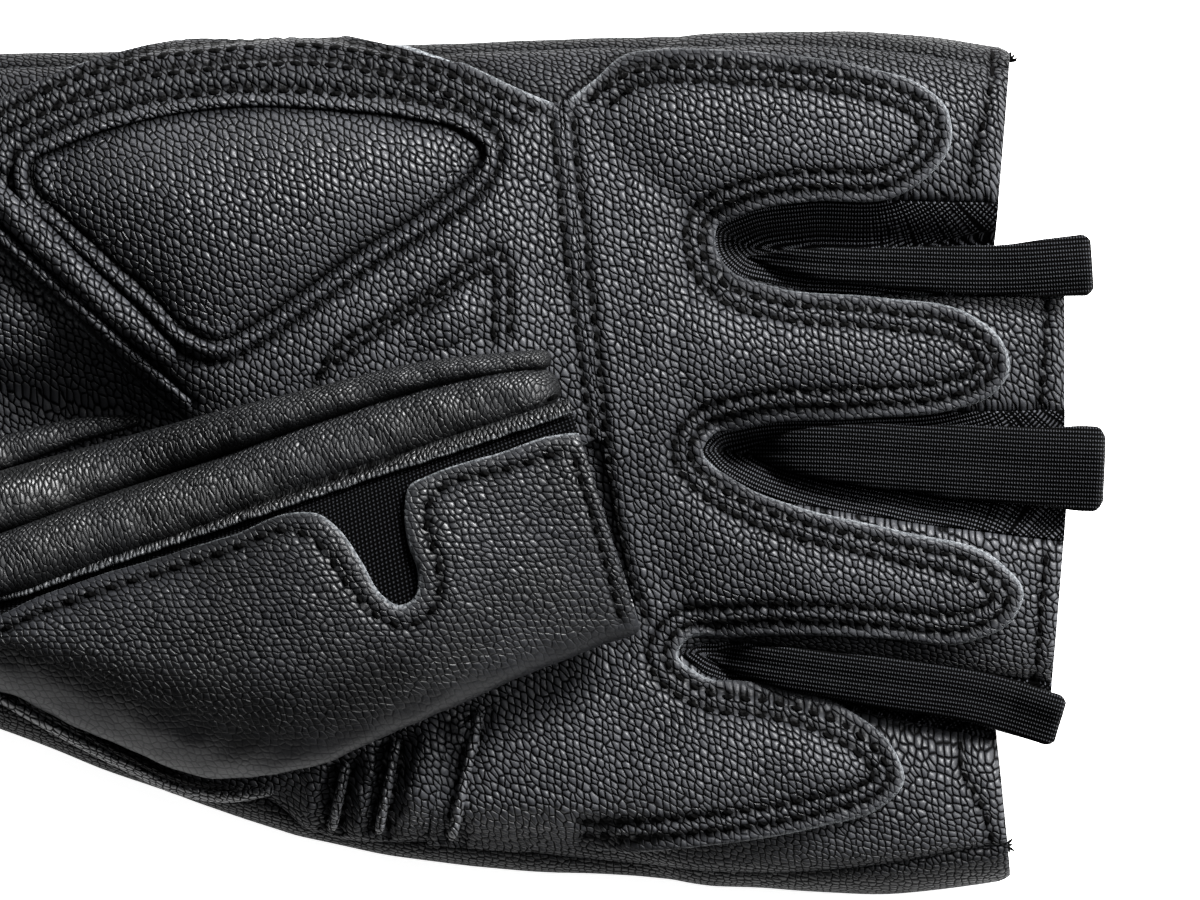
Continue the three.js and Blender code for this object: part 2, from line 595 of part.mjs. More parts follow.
place("back_panel", backPanel, "leather");
place("palm_panel", clearOfThumb(palmPanel), "leather");
place("wrist_hem", wristHem, "leather");
place("finger_panel", fingerPanel, "leather");
place("heel_panel", heelPanel, "leather");
place("heel_pad", seated(heelPad), "padded");
place("heel_bead", seated(heelBead), "leather");
place("heel_rib_inner", seated(heelRibInner), "leather");
place("heel_rib_outer", seated(heelRibOuter), "leather");
place("wedge_pad", seated(wedgePad), "padded");
place("thumb_panel", thumbPanel, "leather");
place("thumb_gusset", thumbMesh, "mesh");
place("thumb_roll_upper", seated(clearOfThumb(rollUpper)), "padded");
place("thumb_roll_lower", seated(clearOfThumb(rollLower)), "padded");
place("thumb_roll_small", seated(clearOfThumb(rollSmall)), "padded");
place("thumb_piping", seated(clearOfThumb(piping)), "leather");
tucks.forEach((body, i) => place(`side_tuck_${i + 1}`, seated(clearOfThumb(body)), "leather"));
knits.forEach((body, i) => place(`finger_gusset_${i + 1}`, body, "knit"));
Object.values(TAB).forEach((rows, i) => place(`pull_tab_${i + 1}`, pullTab(rows), "knit"));

export default glove;
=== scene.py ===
# %% [markdown]
# # A half-finger fitness glove
# A black leather training glove for the right hand lies palm up, its thumb folded over the palm.
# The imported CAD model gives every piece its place. This lesson builds the looks round it: leather
# that bulges and creases, cut edges, padding, stitches, knit and mesh.

# %% Frame, units and the CAD box
import math

import bpy
import numpy as np
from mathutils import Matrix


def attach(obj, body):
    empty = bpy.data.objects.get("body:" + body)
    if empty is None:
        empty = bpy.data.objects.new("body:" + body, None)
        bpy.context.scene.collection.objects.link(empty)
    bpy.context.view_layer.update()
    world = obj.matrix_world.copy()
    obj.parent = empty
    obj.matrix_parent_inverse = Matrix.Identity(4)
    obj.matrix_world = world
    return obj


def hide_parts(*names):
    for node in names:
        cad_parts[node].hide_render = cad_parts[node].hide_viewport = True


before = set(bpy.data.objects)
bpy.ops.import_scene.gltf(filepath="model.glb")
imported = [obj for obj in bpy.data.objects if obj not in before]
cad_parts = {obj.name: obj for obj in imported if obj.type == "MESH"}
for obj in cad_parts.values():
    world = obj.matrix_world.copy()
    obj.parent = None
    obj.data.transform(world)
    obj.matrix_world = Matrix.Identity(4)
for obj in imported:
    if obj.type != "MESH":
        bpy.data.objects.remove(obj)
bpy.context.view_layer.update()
MM = 0.001  # one millimetre in metres: every size below is in millimetres

# %% [markdown]
# ## Camera
# The photo looks straight down on the glove. A long lens far above keeps the thumb, which lies
# nearest to it, at its true size.

# %% Camera
VIEW_CENTRE = (29.04, 1.32)  # the spot under the middle of the picture
VIEW_WIDTH = 144.0  # what the picture's width takes in
GLOVE_HEIGHT = 20.0  # the height at which that width holds
LENS, SENSOR = 500.0, 36.0

distance = VIEW_WIDTH * LENS / SENSOR
camera = bpy.data.objects.new("camera", bpy.data.cameras.new("camera"))
camera.data.lens = LENS
camera.data.sensor_width = SENSOR
camera.data.clip_end = 20.0
camera.location = (VIEW_CENTRE[0] * MM, VIEW_CENTRE[1] * MM, (distance + GLOVE_HEIGHT) * MM)
bpy.context.scene.collection.objects.link(camera)
bpy.context.scene.camera = camera
bpy.context.scene.view_settings.view_transform = "Standard"  # white paper stays white
print("camera height in mm:", distance + GLOVE_HEIGHT)

# %% [markdown]
# ## Smooth lines
# Pattern pieces are drawn from a few measured points. A cubic curve through them gives the cut
# line, read at even steps so that stitches and cells keep one size.


# %% Smooth lines
def through(at, known, values):
    """Cubic curve through (known, values): each slope is the mean of the neighbouring chords."""
    known, values = np.asarray(known, float), np.asarray(values, float)
    slope = np.gradient(values, known)
    i = np.clip(np.searchsorted(known, at) - 1, 0, len(known) - 2)
    h = known[i + 1] - known[i]
    t = np.clip((at - known[i]) / h, 0, 1)
    ends = values[i] * (1 + t * t * (2 * t - 3)) + values[i + 1] * t * t * (3 - 2 * t)
    return ends + h * t * (1 - t) * (slope[i] * (1 - t) - slope[i + 1] * t)


def walked_along(line):
    """Length walked from a line's start to each of its points."""
    return np.r_[0, np.cumsum(np.hypot(*np.diff(line[:, :2], axis=0).T))]


def route(rows, step, closed=False):
    """A line through rows of x, y and more columns, each a cubic curve over the length walked."""
    rows = np.asarray(rows, float)
    lap = 3 if closed else 0
    if closed:
        rows = np.vstack([rows[-lap:], rows, rows[: lap + 1]])
    walked = walked_along(rows)
    first, last = walked[lap], walked[-1 - lap]
    fine = np.linspace(first, last, 40 * len(rows))
    line = np.column_stack([through(fine, walked, column) for column in rows.T])
    length = walked_along(line)
    count = max(int(round(length[-1] / step)), 2)
    even = np.linspace(0, length[-1], count + 1)[: count + (not closed)]
    return np.column_stack([np.interp(even, length, column) for column in line.T])


def heading(line):
    """Unit direction along a line at each of its points."""
    along = np.gradient(line[:, :2], axis=0)
    return along / np.linalg.norm(along, axis=1)[:, None]


def beside(line, shift):
    """The line moved to its right by shift."""
    along = heading(line)
    return line[:, :2] + shift * np.column_stack([along[:, 1], -along[:, 0]])


# %% [markdown]
# ## Distance to a cut line
# Almost everything about sewn leather depends on how far a spot is from an edge: the cut edge
# slopes down, stitches run beside it, and padding swells away from it.

# %% Distance to a cut line
BATCH = 4000  # points worked out at a time, to keep the arrays small


def distance_to(points, line, closed=False):
    """Distance from each point to the nearest straight piece of a line, and the walk to there."""
    line = line[:, :2].astype(np.float32)
    ends = np.vstack([line[1:], line[:1]]) if closed else line[1:]
    starts = line if closed else line[:-1]
    piece = ends - starts
    size = np.maximum((piece**2).sum(1), 1e-9)
    before = np.r_[0, np.cumsum(np.sqrt(size))[:-1]]
    far, walk = np.empty(len(points)), np.empty(len(points))
    for k in range(0, len(points), BATCH):
        p = points[k : k + BATCH, None, :2].astype(np.float32) - starts
        t = np.clip((p * piece).sum(2) / size, 0, 1)
        gap = ((p - t[..., None] * piece) ** 2).sum(2)
        best = gap.argmin(1)
        pick = np.arange(len(best)), best
        far[k : k + BATCH] = np.sqrt(gap[pick])
        walk[k : k + BATCH] = before[best] + t[pick] * np.sqrt(size[best])
    return far, walk


def inside(points, outline):
    """True where a line to the right of the point crosses the outline an odd number of times."""
    a, b = outline[:, :2], np.roll(outline[:, :2], -1, 0)
    found = np.zeros(len(points), bool)
    for k in range(0, len(points), BATCH):
        x, y = points[k : k + BATCH, 0, None], points[k : k + BATCH, 1, None]
        spans = (a[:, 1] > y) != (b[:, 1] > y)
        rise = np.where(b[:, 1] == a[:, 1], 1, b[:, 1] - a[:, 1])
        reach = a[:, 0] + (b[:, 0] - a[:, 0]) * (y - a[:, 1]) / rise
        found[k : k + BATCH] = (spans & (x < reach)).sum(1) % 2 == 1
    return found


# %% [markdown]
# ## Charts
# A chart is a height or a distance over the plan of the glove. It is worked out once and then read
# at any spot, so that a thread, a groove and the leather under it agree.

# %% Charts
CHART_LOW = np.array([-98.0, -58.0])
CHART_HIGH = np.array([98.0, 58.0])


class Chart:
    """Values on an even plan grid, read between its corners in proportion."""

    def __init__(self, cell, start=0.0):
        self.cell = cell
        self.count = np.ceil((CHART_HIGH - CHART_LOW) / cell).astype(int) + 1
        self.values = np.full(self.count, start)

    def corners(self):
        """Plan places of all grid corners, as rows of x and y."""
        x, y = (CHART_LOW[k] + self.cell * np.arange(self.count[k]) for k in (0, 1))
        return np.stack(np.meshgrid(x, y, indexing="ij"), -1).reshape(-1, 2)

    def read(self, points):
        at = (points[:, :2] - CHART_LOW) / self.cell
        i = np.clip(at.astype(int), 0, self.count - 2)
        u, v = np.clip(at - i, 0, 1).T
        x, y = i.T
        low = self.values[x, y] * (1 - u) + self.values[x + 1, y] * u
        high = self.values[x, y + 1] * (1 - u) + self.values[x + 1, y + 1] * u
        return low * (1 - v) + high * v


def distance_chart(outline, cell=0.5):
    """Chart of the distance to a closed outline: above zero inside it."""
    chart = Chart(cell)
    points = chart.corners()
    far, _ = distance_to(points, outline, closed=True)
    chart.values = np.where(inside(points, outline), far, -far).reshape(chart.count)
    return chart


def eased(value, start, end):
    """0 before start, 1 after end, turning smoothly between them."""
    t = np.clip((value - start) / (end - start), 0, 1)
    return t * t * (3 - 2 * t)


def rolled(far, reach):
    """1 at an edge and 0 from reach on: how leather turns down at a seam."""
    return np.clip(1 - far / reach, 0, 1) ** 2


def rounded(far, reach, share=1.0):
    """1 from reach on, and a quarter circle down to sqrt(1 - share) at an end."""
    return np.sqrt(1 - share * (1 - np.clip(far / reach, 0, 1)) ** 2)


def waves(points, size, seed):
    """Smooth unevenness from about -1 to 1: sine waves that run in seeded directions."""
    draw = np.random.default_rng(seed)
    total = np.zeros(len(points))
    for octave in (0, 1):
        for _ in range(6):
            way = draw.normal(size=points.shape[1])
            way *= 2 * math.pi * 1.6**octave / size / np.linalg.norm(way)
            total += np.sin(points @ way + draw.uniform(0, 2 * math.pi)) / 1.5**octave
    return total / 5


# %% [markdown]
# ## Meshes from arrays
# A surface is an array of points and an array of faces. A triangle is kept as a four-cornered face
# whose last corner is given twice, so that one array holds both.


# %% Meshes from arrays
def make_piece(name, points, faces, finish=None, smooth=True, **fields):
    """A mesh object from points in mm and faces, with one number per point for each field."""
    faces = np.asarray(faces)
    used, faces = np.unique(faces, return_inverse=True)
    faces = faces.reshape(-1, 4)
    three = faces[:, 2] == faces[:, 3]
    corners = np.where(three, 3, 4)
    keep = np.ones(faces.shape, bool)
    keep[three, 3] = False
    mesh = bpy.data.meshes.new(name)
    mesh.vertices.add(len(used))
    mesh.vertices.foreach_set("co", (points[used, :3] * MM).astype(np.float32).ravel())
    mesh.loops.add(int(corners.sum()))
    mesh.loops.foreach_set("vertex_index", faces[keep].astype(np.int32))
    mesh.polygons.add(len(faces))
    starts = np.r_[0, np.cumsum(corners)[:-1]]
    mesh.polygons.foreach_set("loop_start", starts.astype(np.int32))
    mesh.update(calc_edges=True)
    mesh.shade_smooth() if smooth else mesh.shade_flat()
    for field, values in fields.items():
        layer = mesh.attributes.new(field, "FLOAT", "POINT")
        layer.data.foreach_set("value", np.asarray(values)[used].astype(np.float32))
    piece = bpy.data.objects.new(name, mesh)
    bpy.context.scene.collection.objects.link(piece)
    if finish:
        mesh.materials.append(finish)
    return piece


def grid_faces(rows, columns, wrap_rows=False, wrap_columns=False):
    """Faces of a grid of rows x columns points; a wrapped side joins its end to its start."""
    index = np.arange(rows * columns).reshape(rows, columns)
    if wrap_rows:
        index = np.vstack([index, index[:1]])
    if wrap_columns:
        index = np.hstack([index, index[:, :1]])
    sides = index[:-1, :-1], index[1:, :-1], index[1:, 1:], index[:-1, 1:]
    return np.stack(sides, -1).reshape(-1, 4)


def capped(points, faces, around):
    """Both ends of a tube of rings closed with a fan of triangles."""
    last = len(points)
    ring = np.arange(around)
    start = np.stack([ring, np.roll(ring, -1), np.full(around, last)], 1)[:, [0, 1, 2, 2]]
    other = start[:, [1, 0, 2, 2]] + last - around
    other[:, 2:] = last + 1
    points = np.vstack([points, points[:around].mean(0), points[-around:].mean(0)])
    return points, np.vstack([faces, start, other])


def clipped(points, faces, field):
    """The faces where field is above zero; faces that the edge crosses are cut along it."""
    kept = field > 0
    count = kept[faces].sum(1)
    crossed = faces[(count > 0) & (count < 4)]
    tris = np.vstack([crossed[:, [0, 1, 2]], crossed[:, [0, 2, 3]]])
    tris = tris[(tris[:, 1] != tris[:, 2]) & (tris[:, 2] != tris[:, 0])]
    held = kept[tris]
    total = held.sum(1)
    whole = tris[total == 3][:, [0, 1, 2, 2]]

    def turned(rows, odd):
        return np.stack([rows[np.arange(len(rows)), (odd + k) % 3] for k in range(3)], 1)

    one = turned(tris[total == 1], held[total == 1].argmax(1))
    two = turned(tris[total == 2], held[total == 2].argmin(1))
    sides = np.vstack([one[:, [0, 1]], one[:, [0, 2]], two[:, [1, 0]], two[:, [2, 0]]])
    pairs, new = np.unique(np.sort(sides, 1), axis=0, return_inverse=True)
    new = new.ravel() + len(points)
    share = field[pairs[:, 0]] / (field[pairs[:, 0]] - field[pairs[:, 1]])
    cut = points[pairs[:, 0]] + share[:, None] * (points[pairs[:, 1]] - points[pairs[:, 0]])
    n1, n2 = len(one), len(two)
    corner = np.column_stack([one[:, 0], new[:n1], new[n1 : 2 * n1], new[n1 : 2 * n1]])
    band = np.column_stack([new[2 * n1 : 2 * n1 + n2], two[:, 1], two[:, 2], new[2 * n1 + n2 :]])
    return np.vstack([points, cut]), np.vstack([faces[count == 4], whole, corner, band])


def closed_sheet(top, under, faces):
    """A sheet with a face above and one below, joined along its open edge."""
    ring = np.vstack([faces[:, [0, 1]], faces[:, [1, 2]], faces[:, [2, 3]], faces[:, [3, 0]]])
    ring = ring[ring[:, 0] != ring[:, 1]]
    _, first, times = np.unique(np.sort(ring, 1), axis=0, return_index=True, return_counts=True)
    a, b = ring[first[times == 1]].T
    rim = np.column_stack([b, a, a + len(top), b + len(top)])
    below = faces[:, [2, 1, 0, 3]] + len(top)
    three = faces[:, 2] == faces[:, 3]
    below[three] = faces[three][:, [2, 1, 0, 0]] + len(top)
    return np.vstack([top, under]), np.vstack([faces, below, rim])


def twice(values):
    """The same values for a sheet's face and its underside."""
    return np.r_[values, values]


def face_only(values):
    """Values for a sheet's face, and 0 for its underside."""
    return np.r_[values, np.zeros(len(values))]


def with_tips(values):
    """Values for a tube's rings, and 0 for the middles of its two ends."""
    return np.r_[values, 0, 0]


def from_blender(piece):
    """Points in mm, faces and outward directions of a piece after its modifiers."""
    shown = piece.evaluated_get(bpy.context.evaluated_depsgraph_get()).to_mesh()
    points, normals = (np.empty(len(shown.vertices) * 3, np.float32) for _ in range(2))
    shown.vertices.foreach_get("co", points)
    shown.vertices.foreach_get("normal", normals)
    faces = np.empty(len(shown.loops), np.int32)
    shown.loops.foreach_get("vertex_index", faces)
    return points.reshape(-1, 3) / MM, faces.reshape(-1, 4), normals.reshape(-1, 3)


# %% [markdown]
# ## The form inside the leather
# A stuffed glove is one rounded hand with four half fingers. Each is a tube whose section is a
# superellipse, a shape between an ellipse and a box. Voxels join the tubes to one skin, and a
# little smoothing gives the soft valleys that leather makes between fingers.

# %% Sizes of the hand and the fingers
HAND = [  # x, upper side, lower side, height
    (-98, 45.6, -22.6, 20.6), (-90, 46, -23, 21), (-76, 47.4, -24.2, 22.5), (-60, 48.4, -27.2, 24),
    (-43, 49.2, -32.3, 24.6), (-30, 49.4, -37.4, 24.6), (-16, 49.8, -42.4, 24.5),
    (-4, 50.2, -46.2, 24.2), (8, 50.4, -48.2, 23.6), (20, 50.9, -49.4, 22.8),
    (32, 51.2, -50, 21.4), (40, 51.2, -50.6, 19), (43.5, 50.6, -50.2, 17),
]
FINGERS = {  # x, upper side, lower side, height, lean of the mouth
    "little": [(26, 47.5, 28.5, 18.6, 0), (38, 51.2, 26.9, 19.7, 0), (50, 51.8, 26.7, 18.8, 0),
               (65, 51.6, 26.5, 17.3, 0.04), (77.6, 49.8, 26.2, 15.4, 0.08)],
    "ring": [(26, 24.5, 3, 15.5, 0), (38, 25.4, 2, 19.8, 0), (50, 25.6, 1.6, 19.2, 0),
             (70, 25.3, 0.2, 17.2, 0), (85, 25.1, -0.4, 15.4, 0)],
    "middle": [(26, -0.5, -21.5, 15.5, 0), (38, 0.8, -22.4, 19.8, 0), (50, 0.5, -24.2, 19.2, 0),
               (70, -0.9, -27.8, 17.2, 0.04), (84.4, -1.5, -29.7, 15.4, 0.08)],
    "index": [(26, -24.8, -46.5, 18.4, 0), (38, -23.6, -50.6, 19.5, 0), (50, -25.4, -51.6, 18.8, 0),
              (65, -28.6, -52.2, 17.3, -0.04), (77.6, -30.8, -50.6, 15.4, -0.1)],
}
WIDEST = 0.45  # height of a tube's widest line, as a share of its own height
SINK = 1.6  # how far a tube's round underside is pressed flat
BOXY = 2.6  # exponent of the superellipse
PRESSES = [(4, -18, 42, 24, 0.2), (-40, 4.5, 21, 8, 0.32)]  # x, y, two reaches, share of height
VOXEL = 0.8


# %% The skin
def bent(angle, exponent):
    """Sine and cosine raised to 2 / exponent with their signs kept."""
    wave = np.stack([np.cos(angle), np.sin(angle)])
    return np.sign(wave) * np.abs(wave) ** (2 / exponent)


def tube(rows, step=1.2, around=96, overrun=0.0):
    """Closed tube: rings of superellipses, flat at the floor, pressed down under the thumb."""
    rows = np.asarray(rows, float)
    x = np.linspace(rows[0, 0], rows[-1, 0], int(np.ptp(rows[:, 0]) / step) + 2)
    high, low, top = (through(x, rows[:, 0], rows[:, k])[:, None] for k in (1, 2, 3))
    lean = through(x, rows[:, 0], rows[:, 4])[:, None] if rows.shape[1] > 4 else 0
    if overrun:
        x = np.r_[x, x[-1] + overrun]
        high, low, top = (np.vstack([part, part[-1:]]) for part in (high, low, top))
        lean = np.vstack([lean, lean[-1:]])
    across, up = bent(np.linspace(0, 2 * math.pi, around, endpoint=False), BOXY)
    middle = top * WIDEST
    y = (high + low) / 2 + (high - low) / 2 * across
    z = np.maximum(middle + np.where(up > 0, top - middle, middle + SINK) * up, 0)
    xs = x[:, None] + lean * (y - (high + low) / 2)
    for x_mid, y_mid, along, aside, share in PRESSES:
        far = ((xs - x_mid) / along) ** 2 + ((y - y_mid) / aside) ** 2
        z = z * (1 - share * np.exp(-far**2))
    points = np.stack([xs, y, z], -1).reshape(-1, 3)
    return capped(points, grid_faces(len(x), around, wrap_columns=True), around)


tubes = [tube(HAND)] + [tube(rows, overrun=5.0) for rows in FINGERS.values()]
offsets = np.cumsum([0] + [len(points) for points, _ in tubes[:-1]])
form = make_piece("form", np.vstack([points for points, _ in tubes]),
                  np.vstack([faces + k for (_, faces), k in zip(tubes, offsets)]))
remesh = form.modifiers.new("one skin", "REMESH")
remesh.mode, remesh.voxel_size = "VOXEL", VOXEL * MM
soften = form.modifiers.new("soft valleys", "SMOOTH")
soften.factor, soften.iterations = 0.5, 5
coarse = from_blender(form)
finer = form.modifiers.new("finer", "SUBSURF")
finer.levels = finer.render_levels = 1
fine = from_blender(form)
bpy.data.objects.remove(form)
print("skin:", len(coarse[1]), "coarse cells and", len(fine[1]), "fine cells")

# %% Height of the palm
GROUND_CELL = 0.5
FILL_ROUNDS = 12  # rounds that fill the cells without a point from their neighbours
ground = Chart(GROUND_CELL, start=np.nan)
upper = fine[0][fine[2][:, 2] > 0.1]
spot = np.clip(np.rint((upper[:, :2] - CHART_LOW) / GROUND_CELL).astype(int), 0, ground.count - 1)
tallest = np.full(ground.count, -1.0)
np.maximum.at(tallest, (spot[:, 0], spot[:, 1]), upper[:, 2])
known = tallest > 0


def blurred(values):
    """Mean of each cell and its four neighbours, twice weighing the cell itself."""
    edge = np.pad(values, 1, mode="edge")
    around = edge[:-2, 1:-1] + edge[2:, 1:-1] + edge[1:-1, :-2] + edge[1:-1, 2:]
    return (2 * values + around) / 6


value, weight = np.where(known, tallest, 0.0), known.astype(float)
for _ in range(FILL_ROUNDS):
    value, weight = blurred(value), blurred(weight)
    value = np.where(known, tallest, value)
    weight = np.where(known, 1.0, weight)
ground.values = value / np.maximum(weight, 1e-6)
ground.values = blurred(blurred(ground.values))
print("palm height in mm at the heel and at a finger:",
      ground.read(np.array([[0.0, 30.0], [60.0, 38.0]])).round(1))

# %% [markdown]
# ## Cut lines of the pieces
# The panels are drawn as a pattern cutter would, in plan: the edge of the palm's leather, the knit
# between the fingers, the four-lobed panel of the fingers and the panel on the heel of the hand.

# %% Cut lines
PALM_EDGE = [
    (-96, 42.5), (-60, 46.6), (-20, 48.6), (14.6, 49.8), (35, 50.3), (53, 50.5), (66, 49.6),
    (79, 47.6), (92, 46), (92, -46.4), (75, -46.8), (66, -48.4), (50, -50), (29, -48.5),
    (11.4, -46.3), (-5.8, -44.9), (-11, -41), (-21.5, -39.4), (-30, -35.6), (-43, -29),
    (-60, -23.6), (-96, -19.6),
]
KNITS = {
    1: [(41.6, 26.5), (45.5, 29.6), (55, 31), (92, 30.8), (92, 20), (55, 20.4), (45.5, 22.6)],
    2: [(40.4, 1.2), (45, 4), (55, 5.2), (92, 6.2), (92, -10.4), (68, -7.4), (51, -4.7), (44, -1.6)],
    3: [(38.6, -23), (42, -21.9), (62, -24), (92, -28.4), (92, -35), (76, -33), (62, -30),
        (42, -25.6)],
}
PALM_SEAM = [
    (24.4, 42.6), (25.2, 33.8), (26.2, 25.3), (27.4, 14.5), (29.2, 2.5), (31.7, -10.7),
    (33.6, -19.6),
]
FINGER_EDGE = [
    (24.7, 42.9), (26.4, 44.3), (28.3, 45.7), (31.3, 48), (35.8, 48.9), (43.4, 49),
    (50.5, 48.6), (61, 47.2), (67.5, 45.2), (70.6, 42.6), (71.2, 38), (68.9, 34.6), (65, 32),
    (53.5, 31.2), (46.2, 29.9), (42.8, 27.9), (42.8, 25.4),
    (45, 22.4), (50, 20.8), (62.8, 19.6), (73.5, 17.6), (77.5, 14.2), (78.3, 10.8), (76, 7.8),
    (71.4, 6.2), (60, 5.2), (46.2, 4.3), (42.4, 3.1), (41.2, 1.2), (42.6, -0.6), (46.5, -3.2),
    (53, -5.6), (65, -8.4), (77.2, -12.2), (80, -15.8), (78.5, -19.3), (73.5, -21.7),
    (62.2, -21.2), (44, -21), (39.2, -21.7), (38.3, -23.2), (40.6, -25.4), (50.5, -27.4),
    (59, -30.3), (64, -34.2), (65.6, -38.6), (62.6, -41.8), (56, -43.8), (41, -46.2), (19.4, -47),
]
UNDER_THUMB = [(8.2, -46.2), (10.6, -33), (20.5, -26.5), (29.4, -21.4)]
HEEL_EDGE = [
    (29.2, 2.5), (14.6, -1.6), (-1, -2.6), (-14, 0.6), (-21.5, 5.4), (-30.7, 13.8), (-36.8, 19.4),
    (-43, 25), (-50.2, 30.4), (-53.2, 34.6), (-50.2, 39.2), (-43, 43.4), (-35.3, 47.2),
    (-28, 49.6), (-20, 53), (-3, 53), (5, 50.4), (14.5, 46.8), (19.8, 44.4), (23.9, 42.8),
]
HALF_GAP = 0.02  # the two palm panels leave this much each side of the seam
finger_edge, heel_edge = route(FINGER_EDGE, 0.8), route(HEEL_EDGE, 0.8)
palm_seam = route(PALM_SEAM, 0.8)
shift = np.array([HALF_GAP, 0])
finger_line = np.vstack([palm_seam + shift, np.array(UNDER_THUMB[::-1]), finger_edge[::-1]])
under_thumb = route(UNDER_THUMB[::-1] + [(16, -46.9), (27, -46.8)], 0.8)
heel_line = np.vstack([heel_edge - shift, palm_seam[palm_seam[:, 1] > 2.5] - shift])
finger_field, heel_field = distance_chart(finger_line), distance_chart(heel_line)
palm_line = np.vstack([route(PALM_EDGE[:9], 1.2), route(PALM_EDGE[9:], 1.2)])
palm_field = distance_chart(palm_line)
knit_fields = {k: distance_chart(np.array(rows, float)) for k, rows in KNITS.items()}
print("length of the finger panel's cut edge in mm:", round(0.8 * len(finger_edge)))

# %% [markdown]
# ## Stitches pressed into leather
# A lockstitch pulls the leather down into a row of small pits with a pucker between them. The pits
# are too many to model one by one, so each row is pressed into a relief chart as arrays of ovals,
# and the same list of places later carries the threads.

# %% Relief
RELIEF_CELL = 0.2
PITCH = 2.1  # one stitch to the next
STITCH = 1.5  # the length of thread that shows
CHANNEL_SHADE = 0.75  # how dark the painted shade is in the groove between two stitches
layers = {name: Chart(RELIEF_CELL) for name in ("palm", "overlay", "thumb")}
# charts of painted shade: black in stitch holes, darker in grooves and under edges
painted_shade_charts = {name: Chart(RELIEF_CELL) for name in layers}
sewn = {name: [] for name in layers}
sewn_into = {name: [] for name in layers}  # points and outward directions of the leather


def stamp(chart, centres, turn, half, wide, amount, keep):
    """Presses ovals: amount x exp(-(u^4) - (v^2)), u along and v across, kept where stronger."""
    reach = int(np.ceil(1.9 * max(half, wide) / chart.cell))
    steps = np.arange(-reach, reach + 1)
    i = np.rint((centres[:, :2] - CHART_LOW) / chart.cell).astype(int)
    x = np.clip(i[:, 0, None, None] + steps[:, None], 0, chart.count[0] - 1)
    y = np.clip(i[:, 1, None, None] + steps[None, :], 0, chart.count[1] - 1)
    x, y = np.broadcast_arrays(x, y)
    dx = CHART_LOW[0] + x * chart.cell - centres[:, 0, None, None]
    dy = CHART_LOW[1] + y * chart.cell - centres[:, 1, None, None]
    c, s = np.cos(turn)[:, None, None], np.sin(turn)[:, None, None]
    u, v = (dx * c + dy * s) / half, (dy * c - dx * s) / wide
    oval = np.asarray(amount).reshape(-1, 1, 1) * np.exp(-(u**4) - v * v)
    keep.at(chart.values, (x, y), oval)


def turn_of(line):
    along = heading(line)
    return np.arctan2(along[:, 1], along[:, 0])


DOT_STEP, DOT_LONG = 0.25, 0.5  # a groove is a row of overlapping ovals


def press_line(layer, line, wide, depth, dark=0.0):
    """A groove (depth above zero) or a ridge (below zero) along a line, with a share of painted shade
    in it.
    """
    dots = route(line, DOT_STEP)
    turn = turn_of(dots)
    if dark:
        stamp(painted_shade_charts[layer], dots, turn, DOT_LONG, wide, np.full(len(dots), dark), np.maximum)
    keep = np.minimum if depth > 0 else np.maximum
    stamp(layers[layer], dots, turn, DOT_LONG, wide, -depth, keep)


PIT_WIDE, HOLE_WIDE = 0.5, 0.42
HOLE_SHADE = 1.2  # painted shade: above 1, so that the whole hole is painted black
UNTIDY = 0.11  # how much a stitch's direction varies, in radians


def sew(layer, line, pitch=PITCH, length=STITCH, depth=0.62, groove=0.4, lean=0.0, thread=0.3):
    """A row of stitches along a line: a shallow channel, a pit and a hole for each stitch; the channel
    gets painted shade and each hole is painted black as shade.
    """
    line = np.asarray(line, float)
    press_line(layer, line, 0.6, groove, CHANNEL_SHADE)
    spots = route(line, pitch)
    spots = (spots[:-1] + spots[1:]) / 2
    draw = np.random.default_rng(len(sewn[layer]) + 7)
    turn = turn_of(spots) + lean + draw.normal(0, UNTIDY, len(spots))
    deep = depth * draw.uniform(0.85, 1.15, len(spots))
    stamp(layers[layer], spots, turn, length / 2, PIT_WIDE, -deep, np.minimum)
    # each hole is painted black: painted shade
    black = np.full(len(spots), HOLE_SHADE)
    stamp(painted_shade_charts[layer], spots, turn, length / 2, HOLE_WIDE, black, np.maximum)
    sewn[layer].append((spots, turn, length, thread))


# %% Stitch rows of the palm
VIEW_STEP, ORIGIN = 0.12, (358, 461)  # mm in a step of the view, and where the frame's origin lies


def mm_line(*spots):
    """A line given in steps to the right and down from the view's upper left."""
    return np.array([((x - ORIGIN[0]) * VIEW_STEP, (ORIGIN[1] - y) * VIEW_STEP) for x, y in spots])


RIDGE = 0.22  # height of the leather pinched up between two rows
for line, wide in ((beside(finger_edge, 2.65)[4:-9], 0.55), (palm_seam, 0.7)):
    press_line("overlay", line, wide, -RIDGE)
for inset in (1.7, 3.6):
    sew("overlay", beside(finger_edge, inset)[3 if inset < 2 else 5 : -9], groove=0.5)
HEEL_BRIM = [(-50, 39.2), (-43, 43.4), (-35.3, 47.2), (-30, 49), (-25.8, 50.2), (-20, 50.9),
             (-12.4, 51.6), (-4.7, 51.8), (0.7, 51), (8.4, 49.2), (14.5, 46.8), (19.8, 44.4),
             (23.9, 42.8)]
heel_brim = route(HEEL_BRIM, 0.8)
for side in (beside(finger_edge, -0.6)[:16], beside(heel_brim, -0.6)[-22:]):
    press_line("palm", side, 0.8, 0.2, 0.85)  # the shade under the two edges of the notch
sew("overlay", beside(heel_brim, 1.8)[:-2])
sew("overlay", beside(heel_brim, 4.1)[:-4])
sew("overlay", mm_line((551, 118), (558, 179), (565, 250), (573, 307), (579, 350), (586, 399),
                       (594, 440)))
sew("overlay", mm_line((573, 118), (578, 179), (586, 242), (588, 276), (595, 328), (600, 379),
                       (606, 435), (612, 489), (624, 548), (634, 589), (647, 622)))
sew("overlay", mm_line((0, 221), (84, 297), (143, 348), (184, 384)))
WEDGE_OUTER = [(315, 384), (333, 350), (382, 320), (438, 287), (476, 259), (496, 252), (507, 266),
               (509, 302), (509, 338)]
